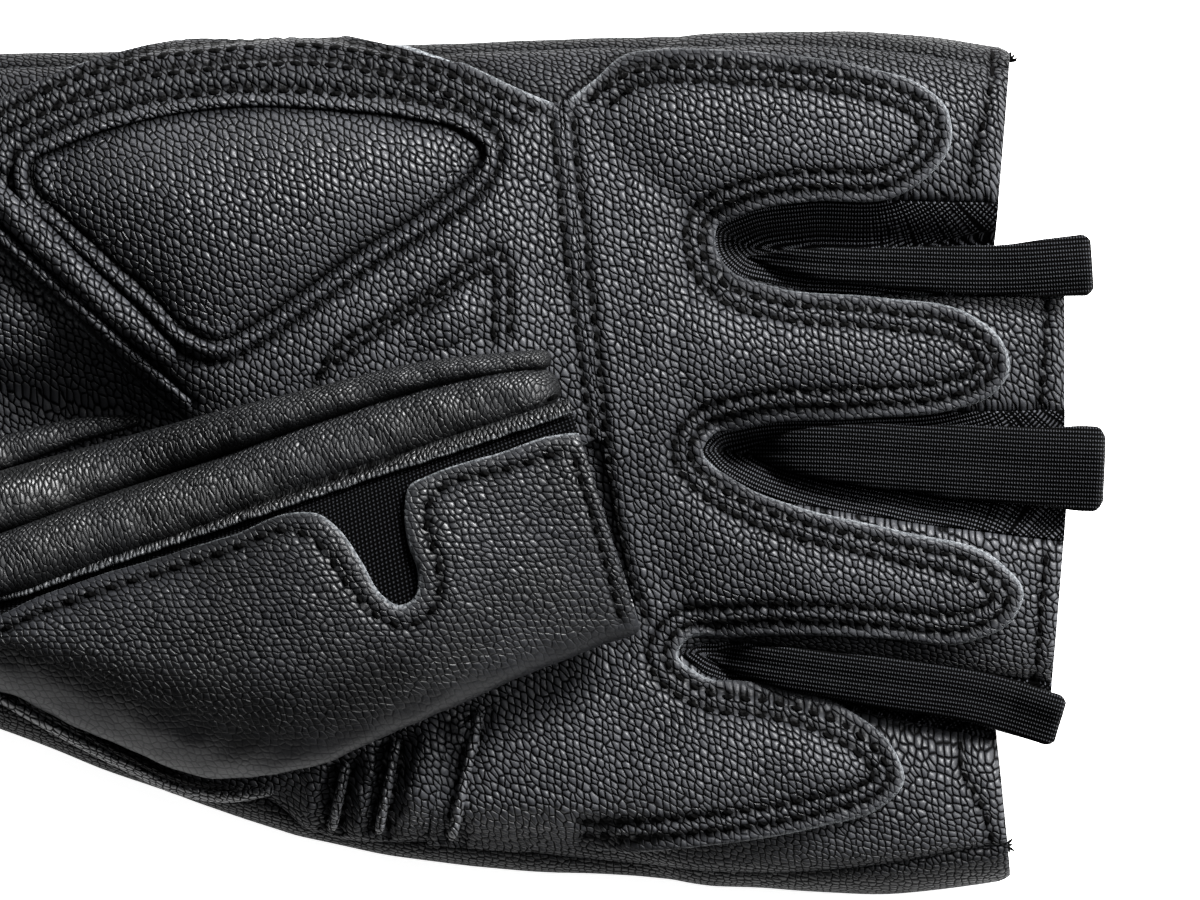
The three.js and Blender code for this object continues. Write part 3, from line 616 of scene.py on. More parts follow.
WEDGE_INNER = [(315, 376), (376, 335), (443, 294), (476, 276), (491, 269), (494, 302), (493, 343)]
for row in (WEDGE_OUTER, WEDGE_INNER):
    sew("overlay", mm_line(*row))
HEEL_PAD = [
    (-39.2, 35), (-35, 37.4), (-25.8, 40.4), (-15.1, 42), (-3.1, 41.7), (6.8, 40.6), (12.4, 39.2),
    (14.9, 37), (13.6, 34.2), (8.8, 30.3), (0.8, 25.4), (-7.2, 19.8), (-12.8, 16.1), (-16.7, 14.4),
    (-19.6, 15.2), (-24.3, 19.5), (-30, 24.5), (-35.2, 29.2), (-39, 32.8),
]
pad_line = route(HEEL_PAD, 0.4, closed=True)
lap = np.vstack([pad_line, pad_line[:3]])
# a groove round the pad, with painted shade in it
press_line("overlay", beside(lap, 0.1), 0.55, 1.0, 0.9)
sew("overlay", beside(lap, -2.35), groove=0.8, depth=1.2)
RIB_INNER = [(-44.5, 32.9, 3, 1.9), (-40.5, 29.1, 3.9, 2.6), (-34.2, 22.9, 3.9, 2.6),
             (-28.1, 17.3, 3.7, 2.4), (-21.9, 11.9, 2.4, 1.5)]
RIB_OUTER = [(-43.6, 27.8, 1.5, 1.2), (-37.8, 22.4, 1.6, 1.4), (-31.8, 17, 1.6, 1.4),
             (-25.8, 11.4, 1.5, 1.3), (-20, 6.6, 1.2, 1)]
# grooves on both sides of each rib, with painted shade in them
for rib, reach in ((RIB_INNER, 2.15), (RIB_OUTER, 1.1)):
    for shift in (-reach, reach):
        press_line("overlay", beside(np.array(rib), shift), 0.45, 0.9, 0.8)
print("stitches on the overlays:", sum(len(row[0]) for row in sewn["overlay"]))

# %% Stitch rows of the mouths, the side tucks and the thumb
sew("palm", mm_line((995, 43), (993, 76), (989, 102), (984, 122), (979, 145), (973, 163), (971, 189)))
sew("palm", mm_line((1049, 296), (1046, 350), (1042, 408)))
sew("palm", mm_line((1047, 553), (1037, 686)))
sew("palm", mm_line((962, 738), (961, 763), (981, 804), (990, 827), (994, 845)))
TUCKS = [((-1.4, -36.2), (-3.2, -44.4)), ((4.6, -33.6), (2.4, -44.8)), ((14.6, -30.2), (11.2, -45.6))]
PUFFS = [  # spot, width and height of the leather that bulges between two tucks
    ((-5.4, -39.4), 1.5, 0.7), ((1.2, -38.6), 1.6, 1.1), ((7.6, -37), 2.6, 1.5)]
for (start, end), (spot, wide, tall) in zip(TUCKS, PUFFS):
    way = math.atan2(start[1] - end[1], start[0] - end[0])
    stamp(layers["palm"], np.array([spot]), np.array([way]), 5.5, wide, tall, np.maximum)
for start, end in TUCKS:
    ridge = route([start, end], 0.8)
    for shift in (-0.95, 0.95):
        sew("palm", beside(ridge, shift), depth=1.1, groove=0.9, length=1.1, thread=0.22)
THUMB_RAW = [
    (-108, 640), (0, 612), (38, 594), (102, 571), (179, 548), (230, 533), (306, 510), (317, 511),
    (338, 525), (364, 561), (384, 594), (402, 605), (415, 599), (420, 573), (410, 543), (406, 502),
    (410, 484), (428, 474), (501, 451), (555, 434), (581, 431),
]
thumb_raw = route(mm_line(*THUMB_RAW), 0.5)
THUMB_ROW = [
    (0, 632), (38, 613), (102, 590), (179, 566), (230, 550), (296, 529), (318, 540), (345, 578),
    (372, 610), (404, 627), (434, 612), (441, 570), (430, 536), (427, 504), (440, 489), (507, 469),
    (560, 452),
]
sew("thumb", mm_line(*THUMB_ROW), pitch=2.7, length=1.6, lean=-0.25)
sew("thumb", mm_line((573, 455), (598, 535), (622, 622)))
ROLL_SEAM = [(-60, 600), (0, 582), (96, 554), (199, 521), (268, 498), (318, 482), (376, 463),
             (421, 441), (498, 415), (562, 395)]
sew("thumb", mm_line(*ROLL_SEAM), pitch=2.3, length=1.4, lean=0.2)

# %% [markdown]
# ## Leather
# The glove is grain leather, dyed black, with a soft shine on its pebbles and none in the creases
# between them. The grain could be a photo, but a Voronoi pattern is made of such cells and stays
# sharp at any size. Its distance to a cell's edge gives the crease and its distance to the cell's
# middle gives the pebble's round top, and both go to bump, colour and gloss: the creases are painted
# near black as shade, and the low sides of the glove get painted shade too. Sewing pulls leather,
# so the cells are stretched. An eighth of a turn then sets them in rows of lozenges.


# %% Node helper
def shade(hex_colour):
    """An sRGB colour such as '1a1b1d' as linear red, green, blue and full alpha."""
    parts = [int(hex_colour[k : k + 2], 16) / 255 for k in (0, 2, 4)]
    return [p / 12.92 if p <= 0.04045 else ((p + 0.055) / 1.055) ** 2.4 for p in parts] + [1.0]


def node(material, kind, inputs=(), **settings):
    """Adds a node with its settings; an input is a value, an output or a node's first output."""
    made = material.node_tree.nodes.new(f"ShaderNode{kind}")
    for name, value in settings.items():
        setattr(made, name, value)
    for socket, value in inputs.items() if isinstance(inputs, dict) else enumerate(inputs):
        if isinstance(value, bpy.types.Node):
            value = value.outputs[0]
        if isinstance(value, bpy.types.NodeSocket):
            material.node_tree.links.new(value, made.inputs[socket])
        else:
            made.inputs[socket].default_value = value
    return made


def finish_of(name):
    """A new material without nodes."""
    material = bpy.data.materials.new(name)
    material.use_nodes = True
    material.node_tree.nodes.clear()
    return material


PLUS, MINUS, TIMES = ({"operation": kind} for kind in ("ADD", "SUBTRACT", "MULTIPLY"))
TIMES_PLUS, MOST = {"operation": "MULTIPLY_ADD"}, {"operation": "MAXIMUM"}
SMOOTH = {"interpolation_type": "SMOOTHSTEP"}  # value, from low, from high, to low, to high
BLEND = {"data_type": "RGBA"}  # 0 is the share of colour 7 in colour 6

# %% Pebbled leather
PEBBLE = 0.9  # mm from one pebble to the next
IRREGULAR = 0.62  # 0 for even lozenges, 1 for cells at random
SIDE_TOP = 18.0  # mm: below this height the glove's sides are laid out flat beside the plan
WANDER = (0.7, 0.7, 0.0)  # mm that a row of pebbles wanders
GRAIN_SCALE, PATCH_SCALE = 2600.0, 90.0  # per metre: pores of 0.4 mm, worn patches of 11 mm
CREASE_SHARE, DOME_SHARE, PORE_SHARE = 0.6, -1.3, 0.14  # of the relief
RELIEF = 0.32  # mm
SHADE_FADE_LOW, SHADE_FADE_HIGH = 3.0, 15.0  # mm: over these heights the painted shade low on the sides fades out, so the sides are darker than the palm
# colours of painted shade: in creases and holes, and low on the sides
SHADE_BLACK, LOW_SIDE_SHADE = "010101", "151618"


def leather(name, turn, stretch, pebble=PEBBLE, face="343538", worn="27282b", gloss=0.4, shine=0.4,
            own_lengths=False):
    """Grain leather: turn and stretch lay the pebbles along the pull of the piece."""
    m = finish_of(name)
    place = node(m, "TexCoord").outputs["Object"]
    x, y, z = node(m, "SeparateXYZ", [place]).outputs
    if own_lengths:
        x, y = (node(m, "Attribute", attribute_name=field).outputs["Fac"]
                for field in ("along", "across"))
    else:
        drop = node(m, "Math", (node(m, "Math", (SIDE_TOP * MM, z), **MINUS), 0.0), **MOST)
        y = node(m, "Math", (node(m, "Math", [y], operation="SIGN"), drop, y), **TIMES_PLUS)
        x, y = (node(m, "Math", (part, 1 / MM), **TIMES) for part in (x, y))
    flat = node(m, "CombineXYZ", (x, y))
    wobble = node(m, "TexNoise", {"Vector": flat, "Scale": 0.4, "Detail": 1.0}).outputs["Color"]
    warped = node(m, "VectorMath", (node(m, "VectorMath", (wobble, WANDER), **TIMES), flat), **PLUS)
    turned = node(m, "VectorRotate", {"Vector": warped, "Angle": -turn}, rotation_type="Z_AXIS")
    drawn = node(m, "VectorMath", (turned, (1 / pebble / stretch, stretch / pebble, 1.0)), **TIMES)
    rows = node(m, "VectorRotate", {"Vector": drawn, "Angle": math.pi / 4}, rotation_type="Z_AXIS")
    cells = {"Vector": rows, "Scale": 1.0, "Randomness": IRREGULAR}
    edge, far = (node(m, "TexVoronoi", cells, voronoi_dimensions="2D", feature=kind).outputs["Distance"]
                 for kind in ("DISTANCE_TO_EDGE", "F1"))
    pores = node(m, "TexNoise", {"Vector": place, "Scale": GRAIN_SCALE, "Detail": 2.0})
    patches = node(m, "TexNoise", {"Vector": place, "Scale": PATCH_SCALE, "Detail": 2.0})
    taut, raw, cavity = (node(m, "Attribute", attribute_name=field).outputs["Fac"]
                         for field in ("taut", "raw", "cavity"))
    dome = node(m, "Math", (node(m, "Math", (far, far), **TIMES), DOME_SHARE), **TIMES)
    crease = node(m, "MapRange", (edge, 0.0, 0.2), **SMOOTH)
    height = node(m, "Math", (crease, CREASE_SHARE, dome), **TIMES_PLUS)
    height = node(m, "Math", (height, node(m, "Math", (1.0, taut), **MINUS)), **TIMES)
    height = node(m, "Math", (pores, PORE_SHARE, height), **TIMES_PLUS)
    relief = node(m, "Bump", {"Strength": 1.0, "Distance": RELIEF * MM, "Height": height})
    tops = node(m, "Math", (node(m, "MapRange", (edge, 0.02, 0.18), **SMOOTH), taut), **MOST)
    patchy = node(m, "MapRange", (patches, 0.35, 0.65), **SMOOTH)
    # painted shade: the sides turn darker towards the floor, below 15 mm
    high = node(m, "MapRange", (z, SHADE_FADE_LOW * MM, SHADE_FADE_HIGH * MM), **SMOOTH)
    tone = node(m, "Mix", {0: patchy, 6: shade(face), 7: shade(worn)}, **BLEND).outputs[2]
    tone = node(m, "Mix", {0: high, 6: shade(LOW_SIDE_SHADE), 7: tone}, **BLEND).outputs[2]
    # painted shade: the creases between pebbles turn near black
    tone = node(m, "Mix", {0: tops, 6: shade(SHADE_BLACK), 7: tone}, **BLEND).outputs[2]
    speck = node(m, "MapRange", (pores, 0.3, 0.7), **SMOOTH)
    fibre = node(m, "Mix", {0: speck, 6: shade("34373a"), 7: shade("808386")}, **BLEND).outputs[2]
    tone = node(m, "Mix", {0: raw, 6: tone, 7: fibre}, **BLEND).outputs[2]
    # painted shade from the stitch charts and the pieces' own masks
    tone = node(m, "Mix", {0: cavity, 6: tone, 7: shade(SHADE_BLACK)}, **BLEND).outputs[2]
    bare = node(m, "Math", (1.0, node(m, "Math", (cavity, raw), **MOST)), **MINUS)
    loose = node(m, "Math", (taut, -0.6, 1.0), **TIMES_PLUS)
    polish = node(m, "MapRange", (patches, 0.3, 0.7, 0.8 * shine, 1.2 * shine), **SMOOTH)
    for share in (bare, loose, tops):
        polish = node(m, "Math", (polish, share), **TIMES)
    skin = node(m, "BsdfPrincipled", {
        "Base Color": tone, "IOR": 1.45, "Specular IOR Level": 0.06, "Coat Weight": polish,
        "Roughness": node(m, "MapRange", (edge, 0.0, 0.16, 0.9, 0.6), **SMOOTH),
        "Coat Roughness": gloss, "Normal": relief, "Coat Normal": relief})
    node(m, "OutputMaterial", {"Surface": skin})
    return m


palm_leather = leather("pebbled_leather_palm", -0.95, 1.28)
heel_leather = leather("pebbled_leather_heel", -1.05, 1.28)
pad_leather = leather("padded_leather", -0.95, 1.28, face="303134", worn="242528", gloss=0.38,
                      shine=0.5)
# darker tone: painted shade on the folds
fold_leather = leather("folded_leather", 1.35, 1.3, pebble=0.66, face="1b1c1e", worn="131415",
                       gloss=0.42, shine=1.15, own_lengths=True)
# darker tone: painted shade on the thumb
thumb_leather = leather("pebbled_leather_thumb", -0.55, 1.25, pebble=0.84, face="242528",
                        worn="1c1d1f", gloss=0.38, shine=0.75)
# lighter tone: a painted highlight on the piping and the tucks
cord_leather = leather("corded_leather", -0.95, 1.2, face="3f4043", worn="303134", shine=0.8)
# darker tone: painted shade on the back panel
back_leather = leather("back_leather", -0.95, 1.2, face="1f2023", worn="18191b")
print("leather finishes:", len(bpy.data.materials))

# %% [markdown]
# ## Knit, mesh and thread
# The strips between the fingers are matt rib knit: ribs 0.5 mm apart, each a row of loops. The
# thumb's gusset is a fine mesh with a hole every 0.5 mm. Both could be modelled yarn by yarn, which
# would take millions of faces. They are sine waves over lengths that each piece carries as fields
# instead, so they follow the cloth. The thread is bonded polyester with a twist.


# %% Knit, mesh and thread
def cloth(name, rib, loop, deep, light, depth):
    """Cloth whose ribs follow the field across and whose loops follow the field along."""
    m = finish_of(name)
    place = node(m, "TexCoord").outputs["Object"]
    fuzz = node(m, "TexNoise", {"Vector": place, "Scale": 3000.0, "Detail": 2.0})
    rows = []
    for field, size in (("across", rib), ("along", loop)):
        length = node(m, "Attribute", attribute_name=field).outputs["Fac"]
        angle = node(m, "Math", (length, 2 * math.pi / size), **TIMES)
        wave = node(m, "Math", [angle], operation="SINE")
        rows.append(node(m, "Math", (wave, 0.5, 0.5), **TIMES_PLUS))
    both = node(m, "Math", (rows[0], node(m, "Math", (rows[1], deep, 1 - deep), **TIMES_PLUS)), **TIMES)
    height = node(m, "Math", (fuzz, 0.25, both), **TIMES_PLUS)
    relief = node(m, "Bump", {"Strength": 0.9, "Distance": depth * MM, "Height": height})
    # painted shade: the valleys between ribs and loops, and the mesh's holes, are painted black
    raised = node(m, "MapRange", (both, 0.25, 0.95), **SMOOTH)
    tone = node(m, "Mix", {0: raised, 6: shade("000000"), 7: shade(light)}, **BLEND).outputs[2]
    yarn = node(m, "BsdfPrincipled", {
        "Base Color": tone, "Roughness": 0.8, "Normal": relief, "Specular IOR Level": 0.02,
        "Sheen Weight": 0.01, "Sheen Roughness": 0.4})
    node(m, "OutputMaterial", {"Surface": yarn})
    return m


# rib_knit is a lighter copy of tab_knit: painted light against the shade between the fingers
rib_knit = cloth("rib_knit", 0.5, 0.34, 0.85, "46474b", 0.2)
tab_knit = cloth("tab_knit", 0.5, 0.34, 0.85, "323336", 0.2)
fine_mesh = cloth("fine_mesh", 0.52, 0.52, 1.0, "232427", 0.16)
thread = finish_of("polyester_thread")
place = node(thread, "TexCoord").outputs["Object"]
twist = node(thread, "TexWave", {"Vector": place, "Scale": 900.0, "Distortion": 2.0},
             bands_direction="DIAGONAL").outputs["Fac"]
strands = node(thread, "Bump", {"Strength": 0.6, "Distance": 0.06 * MM, "Height": twist})
black = node(thread, "Mix", {0: twist, 6: shade("000000"), 7: shade("060606")}, **BLEND).outputs[2]
node(thread, "OutputMaterial", {"Surface": node(thread, "BsdfPrincipled", {
    "Base Color": black, "Roughness": 0.9, "Specular IOR Level": 0.03, "Normal": strands})})

# %% [markdown]
# ## The body of the glove
# The skin is cut along the pattern's lines into the palm, the back, the wrist hem and the knit
# between the fingers. Near a seam each piece turns down a little, as sewn leather does, and the
# wall is given its 1.4 mm on the inside.

# %% Body pieces
WALL = 1.4
WRIST, HEM = -90.0, -81.0
SEAM_LOW, KNIT_LOW = 8.2, 4.0
BETWEEN = (25.6, -0.9, -30.2)  # y halfway between neighbouring fingers
TURN_IN, TURN_DEEP = 1.5, 0.6  # how far from a seam the leather turns down, and how deep
THUMB_WAY = [(-17, -12), (-30, -15.5), (-42, -19), (-48, -21.5), (-42, -25.5), (-30, -30), (-19, -33),
             (-15, -25)]  # the way from the hand into the thumb
WAY_LOW = 5.0
SHADE_FREE_X, SHADE_FREE_Y = (-35, -20), (22, 32)  # bounds of the hollow at the heel that the painted side shade leaves out, along and to a side
thumb_way = distance_chart(route(THUMB_WAY, 1.0, closed=True), cell=1.0)


def room(p):
    """Distance inside the cut ends: the wrist's straight edge and each finger's slanted mouth."""
    ends = [rows[-1] for rows in FINGERS.values()]
    lines = [end[0] + end[4] * (p[:, 1] - (end[1] + end[2]) / 2) - p[:, 0] for end in ends]
    picks = [p[:, 1] > BETWEEN[0], p[:, 1] > BETWEEN[1], p[:, 1] > BETWEEN[2]]
    return np.minimum(np.select(picks, lines[:3], lines[3]), p[:, 0] - WRIST)


def knit_zone(p, which=None):
    fields = [knit_fields[k].read(p) for k in ([which] if which else KNITS)]
    return np.minimum(np.max(fields, 0), p[:, 2] - KNIT_LOW)


def zone(field, low):
    """Field above zero inside a chart's outline and higher than low."""
    return lambda p: np.minimum(field.read(p), p[:, 2] - low)


def cut(skin, *fields):
    """The part of a skin where every field is above zero, and the least of the fields there."""
    data, faces = np.hstack([skin[0], skin[2]]), skin[1]
    for field in fields:
        data, faces = clipped(data, faces, field(data))
    used, faces = np.unique(faces, return_inverse=True)
    data, faces = data[used], faces.reshape(-1, 4)
    return data[:, :3], faces, data[:, 3:], np.min([field(data) for field in fields], 0)


def wall(piece, thickness):
    made = piece.modifiers.new("wall", "SOLIDIFY")
    made.thickness, made.offset = thickness * MM, -1
    return piece


def finished(piece, slot, *nodes):
    """The piece rides on the glove and stands for CAD nodes, where it has any; slot is not used."""
    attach(piece, "root")
    if nodes:
        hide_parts(*nodes)
    print(piece.name, len(piece.data.polygons), "faces")
    return piece


STEEP_SHADE, LEANING_SHADE = 0.6, 0.4  # shares of painted shade where the leather turns steeply and where it leans to a side


def painted_side_shade(normals):
    """Painted shade on leather that turns to the side, away from the light above."""
    steep = STEEP_SHADE * (1 - eased(normals[:, 2], 0.1, 0.8))
    leaning = LEANING_SHADE * eased(np.abs(normals[:, 1]), 0.15, 0.5)
    return np.maximum(steep, leaning) * eased(normals[:, 2], -0.9, -0.3)


def uneven(points):
    """The palm's own soft unevenness, which the panels on it follow."""
    return 0.12 * waves(points, 14, 3)


def body_piece(name, finish, *fields):
    """Skin turned down at its seams and pressed by its stitches, with painted shade from the stitch
    charts and on its sides; the hollow at the heel is left out of the side shade.
    """
    points, faces, normals, deep = cut(coarse, room, *fields)
    turned = TURN_DEEP * rolled(deep, TURN_IN)
    upward = eased(normals[:, 2], 0.1, 0.5)
    lift = upward * layers["palm"].read(points) - turned + uneven(points)
    # painted shade: stitch charts, and the sides except in the hollow at the heel
    shade_reach = np.maximum(eased(points[:, 0], *SHADE_FREE_X), eased(np.abs(points[:, 1]), *SHADE_FREE_Y))
    shade_mask = np.maximum(upward * painted_shade_charts["palm"].read(points), painted_side_shade(normals) * shade_reach)
    points = points + normals * lift[:, None]
    points[:, 2] = np.maximum(points[:, 2], 0.02)
    sewn_into["palm"].append(np.hstack([points, normals])[upward > 0])
    return wall(make_piece(name, points, faces, finish, cavity=shade_mask), WALL)


def past_hem(p):
    return p[:, 0] - HEM


def off_knit(p):
    return -knit_zone(p)


def off_thumb_way(p):
    return np.maximum(-thumb_way.read(p), WAY_LOW - p[:, 2])


palm_zone = zone(palm_field, SEAM_LOW)
palm = body_piece("palm_leather", palm_leather, past_hem, palm_zone, off_knit, off_thumb_way)
back = body_piece("back_leather", back_leather, past_hem, lambda p: -palm_zone(p), off_knit)
hem = body_piece("wrist_hem_leather", palm_leather, lambda p: HEM - p[:, 0])
for piece, panel in ((palm, "palm_panel"), (back, "back_panel"), (hem, "wrist_hem")):
    finished(piece, "leather", panel)

# %% Knit between the fingers
KNIT_SUNK = 0.25  # mm that the knit lies lower than the leather beside it
SIDE_RIBS = 0.6  # share of the way down a side that counts as way across, below 12 mm

for k in KNITS:
    points, faces, normals, _ = cut(fine, room, lambda p, k=k: knit_zone(p, k))
    across, along = distance_to(points, finger_edge)  # the ribs follow the leather's edge
    across = across + np.maximum(12 - points[:, 2], 0) * SIDE_RIBS
    strip = make_piece(f"finger_knit_{k}", points - KNIT_SUNK * normals, faces, rib_knit,
                       across=across, along=along)
    finished(wall(strip, WALL), "rib_knit", f"finger_gusset_{k}")

# %% [markdown]
# ## The panels sewn on the palm
# Each panel is a piece of leather 1.2 mm thick that follows the skin. Its cut edge shows as a thin
# grey line, so the top slopes down to it. Between the stitch rows and the middle the padding under
# it swells the leather.

# %% Overlay panels
OVERLAY, CLEAR = 1.2, 0.25
RAW = 0.55  # width of the cut edge
PUFF, PUFF_START, PUFF_REACH = 0.8, 3.0, 7.0
OVERLAY_LOW = 12.0


def overlay_lift(deep, joined):
    """Height over the skin: a slope up the cut edge unless joined, the leather, the padding."""
    slope = (OVERLAY + CLEAR) * np.maximum(eased(deep, -0.15, RAW), joined)
    return slope + PUFF * eased(deep, PUFF_START, PUFF_START + PUFF_REACH)


BRIM = [  # how far the heel panel reaches over the palm's side
    (-52, 40), (-43, 43.5), (-35, 47.1), (-29.9, 48.9), (-25.4, 50.1), (-22.3, 50.7), (-17.1, 51.5),
    (-11.1, 51.8), (-4.8, 51.7), (-1.2, 51.2), (4.8, 49.8), (10.8, 47.9), (25, 47.9)]
NOTCH = 24.0  # x of the notch where the two panels meet at the palm's side
PALE_FROM, PALE_TO = 0.12, 0.58  # mm from the cut line: where the pale edge ends
PRESSED = 0.6  # how much the grain is flattened beside a cut edge


def overlay(name, field, finish, node_name, vanish=None):
    """A panel over the palm; where it reaches the vanish line it goes down into the palm's leather."""
    points, faces, normals, deep = cut(fine, room, zone(field, OVERLAY_LOW))
    upward = eased(normals[:, 2], 0.02, 0.2)
    to_seam, _ = distance_to(points, palm_seam)
    joined = 1 - eased(to_seam, 0.3, 1.0)
    own = eased(distance_to(points, vanish)[0], 0.3, 6) if vanish is not None else 1.0
    pulled = 0.2 * rolled(to_seam, 0.5)
    lift = overlay_lift(deep, joined) + upward * layers["overlay"].read(points) - pulled
    lift = own * np.maximum(lift + 0.1 * waves(points, 9, 5), 0.05)
    skin_lift = uneven(points) + upward * layers["palm"].read(points)
    lift = lift + (1 - own) * (0.1 + skin_lift)
    top = points + normals * lift[:, None]
    sewn_into["overlay"].append(np.hstack([top, normals])[upward > 0])
    if vanish is not None:
        sewn_into["palm"].append(np.hstack([top, normals])[own < 0.7])
    else:
        top[:, 1] = np.minimum(top[:, 1], np.interp(top[:, 0], *np.array(BRIM).T))
    top, faces = closed_sheet(top, points - 0.1 * normals, faces)
    at_notch = np.exp(-(((points[:, 0] - NOTCH) / 12) ** 2)) * eased(points[:, 1], 38, 42)
    pale = 1 - eased(deep / (1 + 0.9 * at_notch), PALE_FROM, PALE_TO)
    cut_edge = pale * eased(to_seam, 0.8, 1.6) * own
    flat = PRESSED * (1 - eased(deep, 0.9, 1.5)) * (1 - joined) * own
    # painted shade: stitch charts and the sides, kept off the pale cut edge
    shade_mask = np.maximum(painted_shade_charts["overlay"].read(points) * upward, painted_side_shade(normals) * (1 - cut_edge))
    piece = make_piece(name, top, faces, finish, raw=twice(cut_edge),
                       cavity=face_only(np.clip(shade_mask, 0, 1)), taut=twice(flat))
    return finished(piece, "leather", node_name)


overlay("finger_leather", finger_field, palm_leather, "finger_panel", under_thumb)
overlay("heel_leather", heel_field, heel_leather, "heel_panel")

# %% [markdown]
# ## Folds, ribs and cords
# A fold, a corded seam or a rib is one outline carried along a line on the palm. Its width and
# height are given at a few places, and the outline is a dome that stands on what lies under it.


# %% Swept folds
def on_palm(p):
    return ground.read(p) + 0.1


def on_overlay(p):
    return ground.read(p) + OVERLAY + 0.1


FOLD_STEP = 0.4


def fold(name, rows, rest, finish, slot, node_name, around=32, power=0.75, crimp=0.0, crimp_size=1.6,
         seed=1, upright=0.0, square=1.0, smooth=0.0, painted_shadow=0.0):
    """Dome-shaped bar along rows of x, y, width and height: u = half width x cos^square,
    z = rest + height x sin^power. Upright takes out the slope under it, smooth and the painted
    shadow work on its right side (the shadow is painted shade there), and the ends round off."""
    line = route(rows, FOLD_STEP)
    side = beside(line, 1.0) - line[:, :2]
    walk = FOLD_STEP * np.arange(len(line))
    tip = np.minimum(walk, walk[-1] - walk)
    blunt = rounded(tip + 0.15, line[:, 2] * 0.6 + 0.3)
    angle = np.linspace(0, 2 * math.pi, around, endpoint=False)
    cos = np.sign(np.cos(angle)) * np.abs(np.cos(angle)) ** square
    u = (line[:, 2] / 2 * blunt)[:, None] * cos
    xy = line[:, None, :2] + side[:, None] * u[..., None]
    up = np.where(np.sin(angle) > 0, np.abs(np.sin(angle)) ** power, -0.0)
    tall = (line[:, 3] * blunt)[:, None] * up
    flat = xy.reshape(-1, 2)
    base = rest(flat).reshape(tall.shape)
    level = rest(line[:, :2])[:, None]
    z = base + upright * (level - base) * up + tall
    points = np.column_stack([flat, z.ravel()])
    around_walk = np.repeat(walk, around)
    ripple = np.sin(2 * math.pi * around_walk / crimp_size + 1.2 * np.tile(angle, len(line)))
    ripple = crimp * ripple * np.tile(up > 0.05, len(line))
    points[:, 2] += ripple + 0.25 * waves(points, 5, seed) * np.tile(up, len(line))
    faces = grid_faces(len(line), around, wrap_columns=True)
    points, faces = capped(points, faces, around)
    girth = np.tile(line[:, 2].max() / 2 * angle, len(line))
    # painted shade on the right side, which faces away from the light
    dark = painted_shadow * np.tile(eased(np.cos(angle), -0.3, 0.8), len(line))
    sleek = smooth * (1 + np.tile(eased(np.cos(angle), -0.4, 0.6), len(line)))
    piece = make_piece(name, points, faces, finish, across=with_tips(girth),
                       along=with_tips(around_walk), taut=with_tips(sleek), cavity=with_tips(dark))
    return finished(piece, slot, node_name)


ROLL_UPPER = [(-62, -10, 3, 2.4), (-52, -7.6, 5.4, 5), (-43, -5, 6.3, 6.2), (-29, -0.6, 5.4, 6),
              (-16, 3.4, 4.6, 7), (-5, 6.6, 3.8, 6.8), (7, 10, 3, 6.4), (23.2, 12.3, 2.1, 5.6)]
ROLL_LOWER = [(-60, -15.6, 3, 3), (-52, -14.8, 6, 6), (-43, -12.9, 7, 7.8), (-29, -8.1, 7.3, 8.4),
              (-16, -3.8, 7.4, 9), (-5, 0.3, 7.4, 8.8), (7.6, 4.5, 7, 8.2), (16.7, 7.2, 6.2, 7.6),
              (24.2, 9.1, 4.6, 6.4)]
ROLL_SMALL = [(-60, -3, 1.6, 1.6), (-50, -0.8, 3, 2.8), (-43, 0.9, 3.4, 3), (-34, 3.6, 2.6, 2.4),
              (-26, 5, 1.2, 1)]
ROLL_SPREAD = 1.16  # the soft folds press against each other
for label, rows in (("upper", ROLL_UPPER), ("lower", ROLL_LOWER), ("small", ROLL_SMALL)):
    rows = [(x, y, wide * ROLL_SPREAD, tall) for x, y, wide, tall in rows]
    # the rolls get painted shade on their lower side
    roll = fold(f"thumb_fold_{label}", rows, on_palm, fold_leather, "padded_leather",
                f"thumb_roll_{label}", around=56, crimp=0.05, seed=len(label), power=0.5, square=0.7,
                smooth=0.4, painted_shadow=0.8, upright=0.8)

fold("heel_rib_wide", RIB_INNER, on_overlay, heel_leather, "leather", "heel_rib_inner",
     crimp=0.06)
fold("heel_rib_narrow", RIB_OUTER, on_overlay, heel_leather, "leather", "heel_rib_outer",
     around=20, crimp=0.05, crimp_size=1.2)
PIPING = [(-52, -23.4, 1, 1), (-43, -28.4, 1.4, 1.4), (-35, -33, 1.4, 1.4), (-27.6, -36.8, 1.4, 1.4),
          (-21.5, -39.6, 1.4, 1.4), (-15.4, -40.4, 1.4, 1.4), (-10.2, -39.6, 1.2, 1.2)]
fold("thumb_cord", PIPING, on_palm, cord_leather, "leather", "thumb_piping", around=20, crimp=0.06,
     crimp_size=1.3)
for k, (start, end) in enumerate(TUCKS, 1):
    rest = on_overlay if k == len(TUCKS) else on_palm
    fold(f"side_fold_{k}", [(*start, 1.2, 1.1), (*end, 1.2, 0.9)], rest, cord_leather, "leather",
         f"side_tuck_{k}", around=20, crimp=0.04)

# %% [markdown]
# ## Padding
# The heel of the hand rests on a triangular pad with a corded edge, and a small wedge lies beside
# the palm seam. A pad could be a smooth crown worked out from the distance to its outline, and it
# starts as one. Leather over foam also pulls and dimples at its seam, so cloth held at the seam and
# pressed up from inside then finds its own shape. Cloth works best on things of about a metre.

# %% Cloth pressed up from inside
CLOTH_SCALE = 20.0
CLOTH_FRAMES = 20
SWELL_CAP = 0.9  # mm that the cloth may move from the crown it starts as


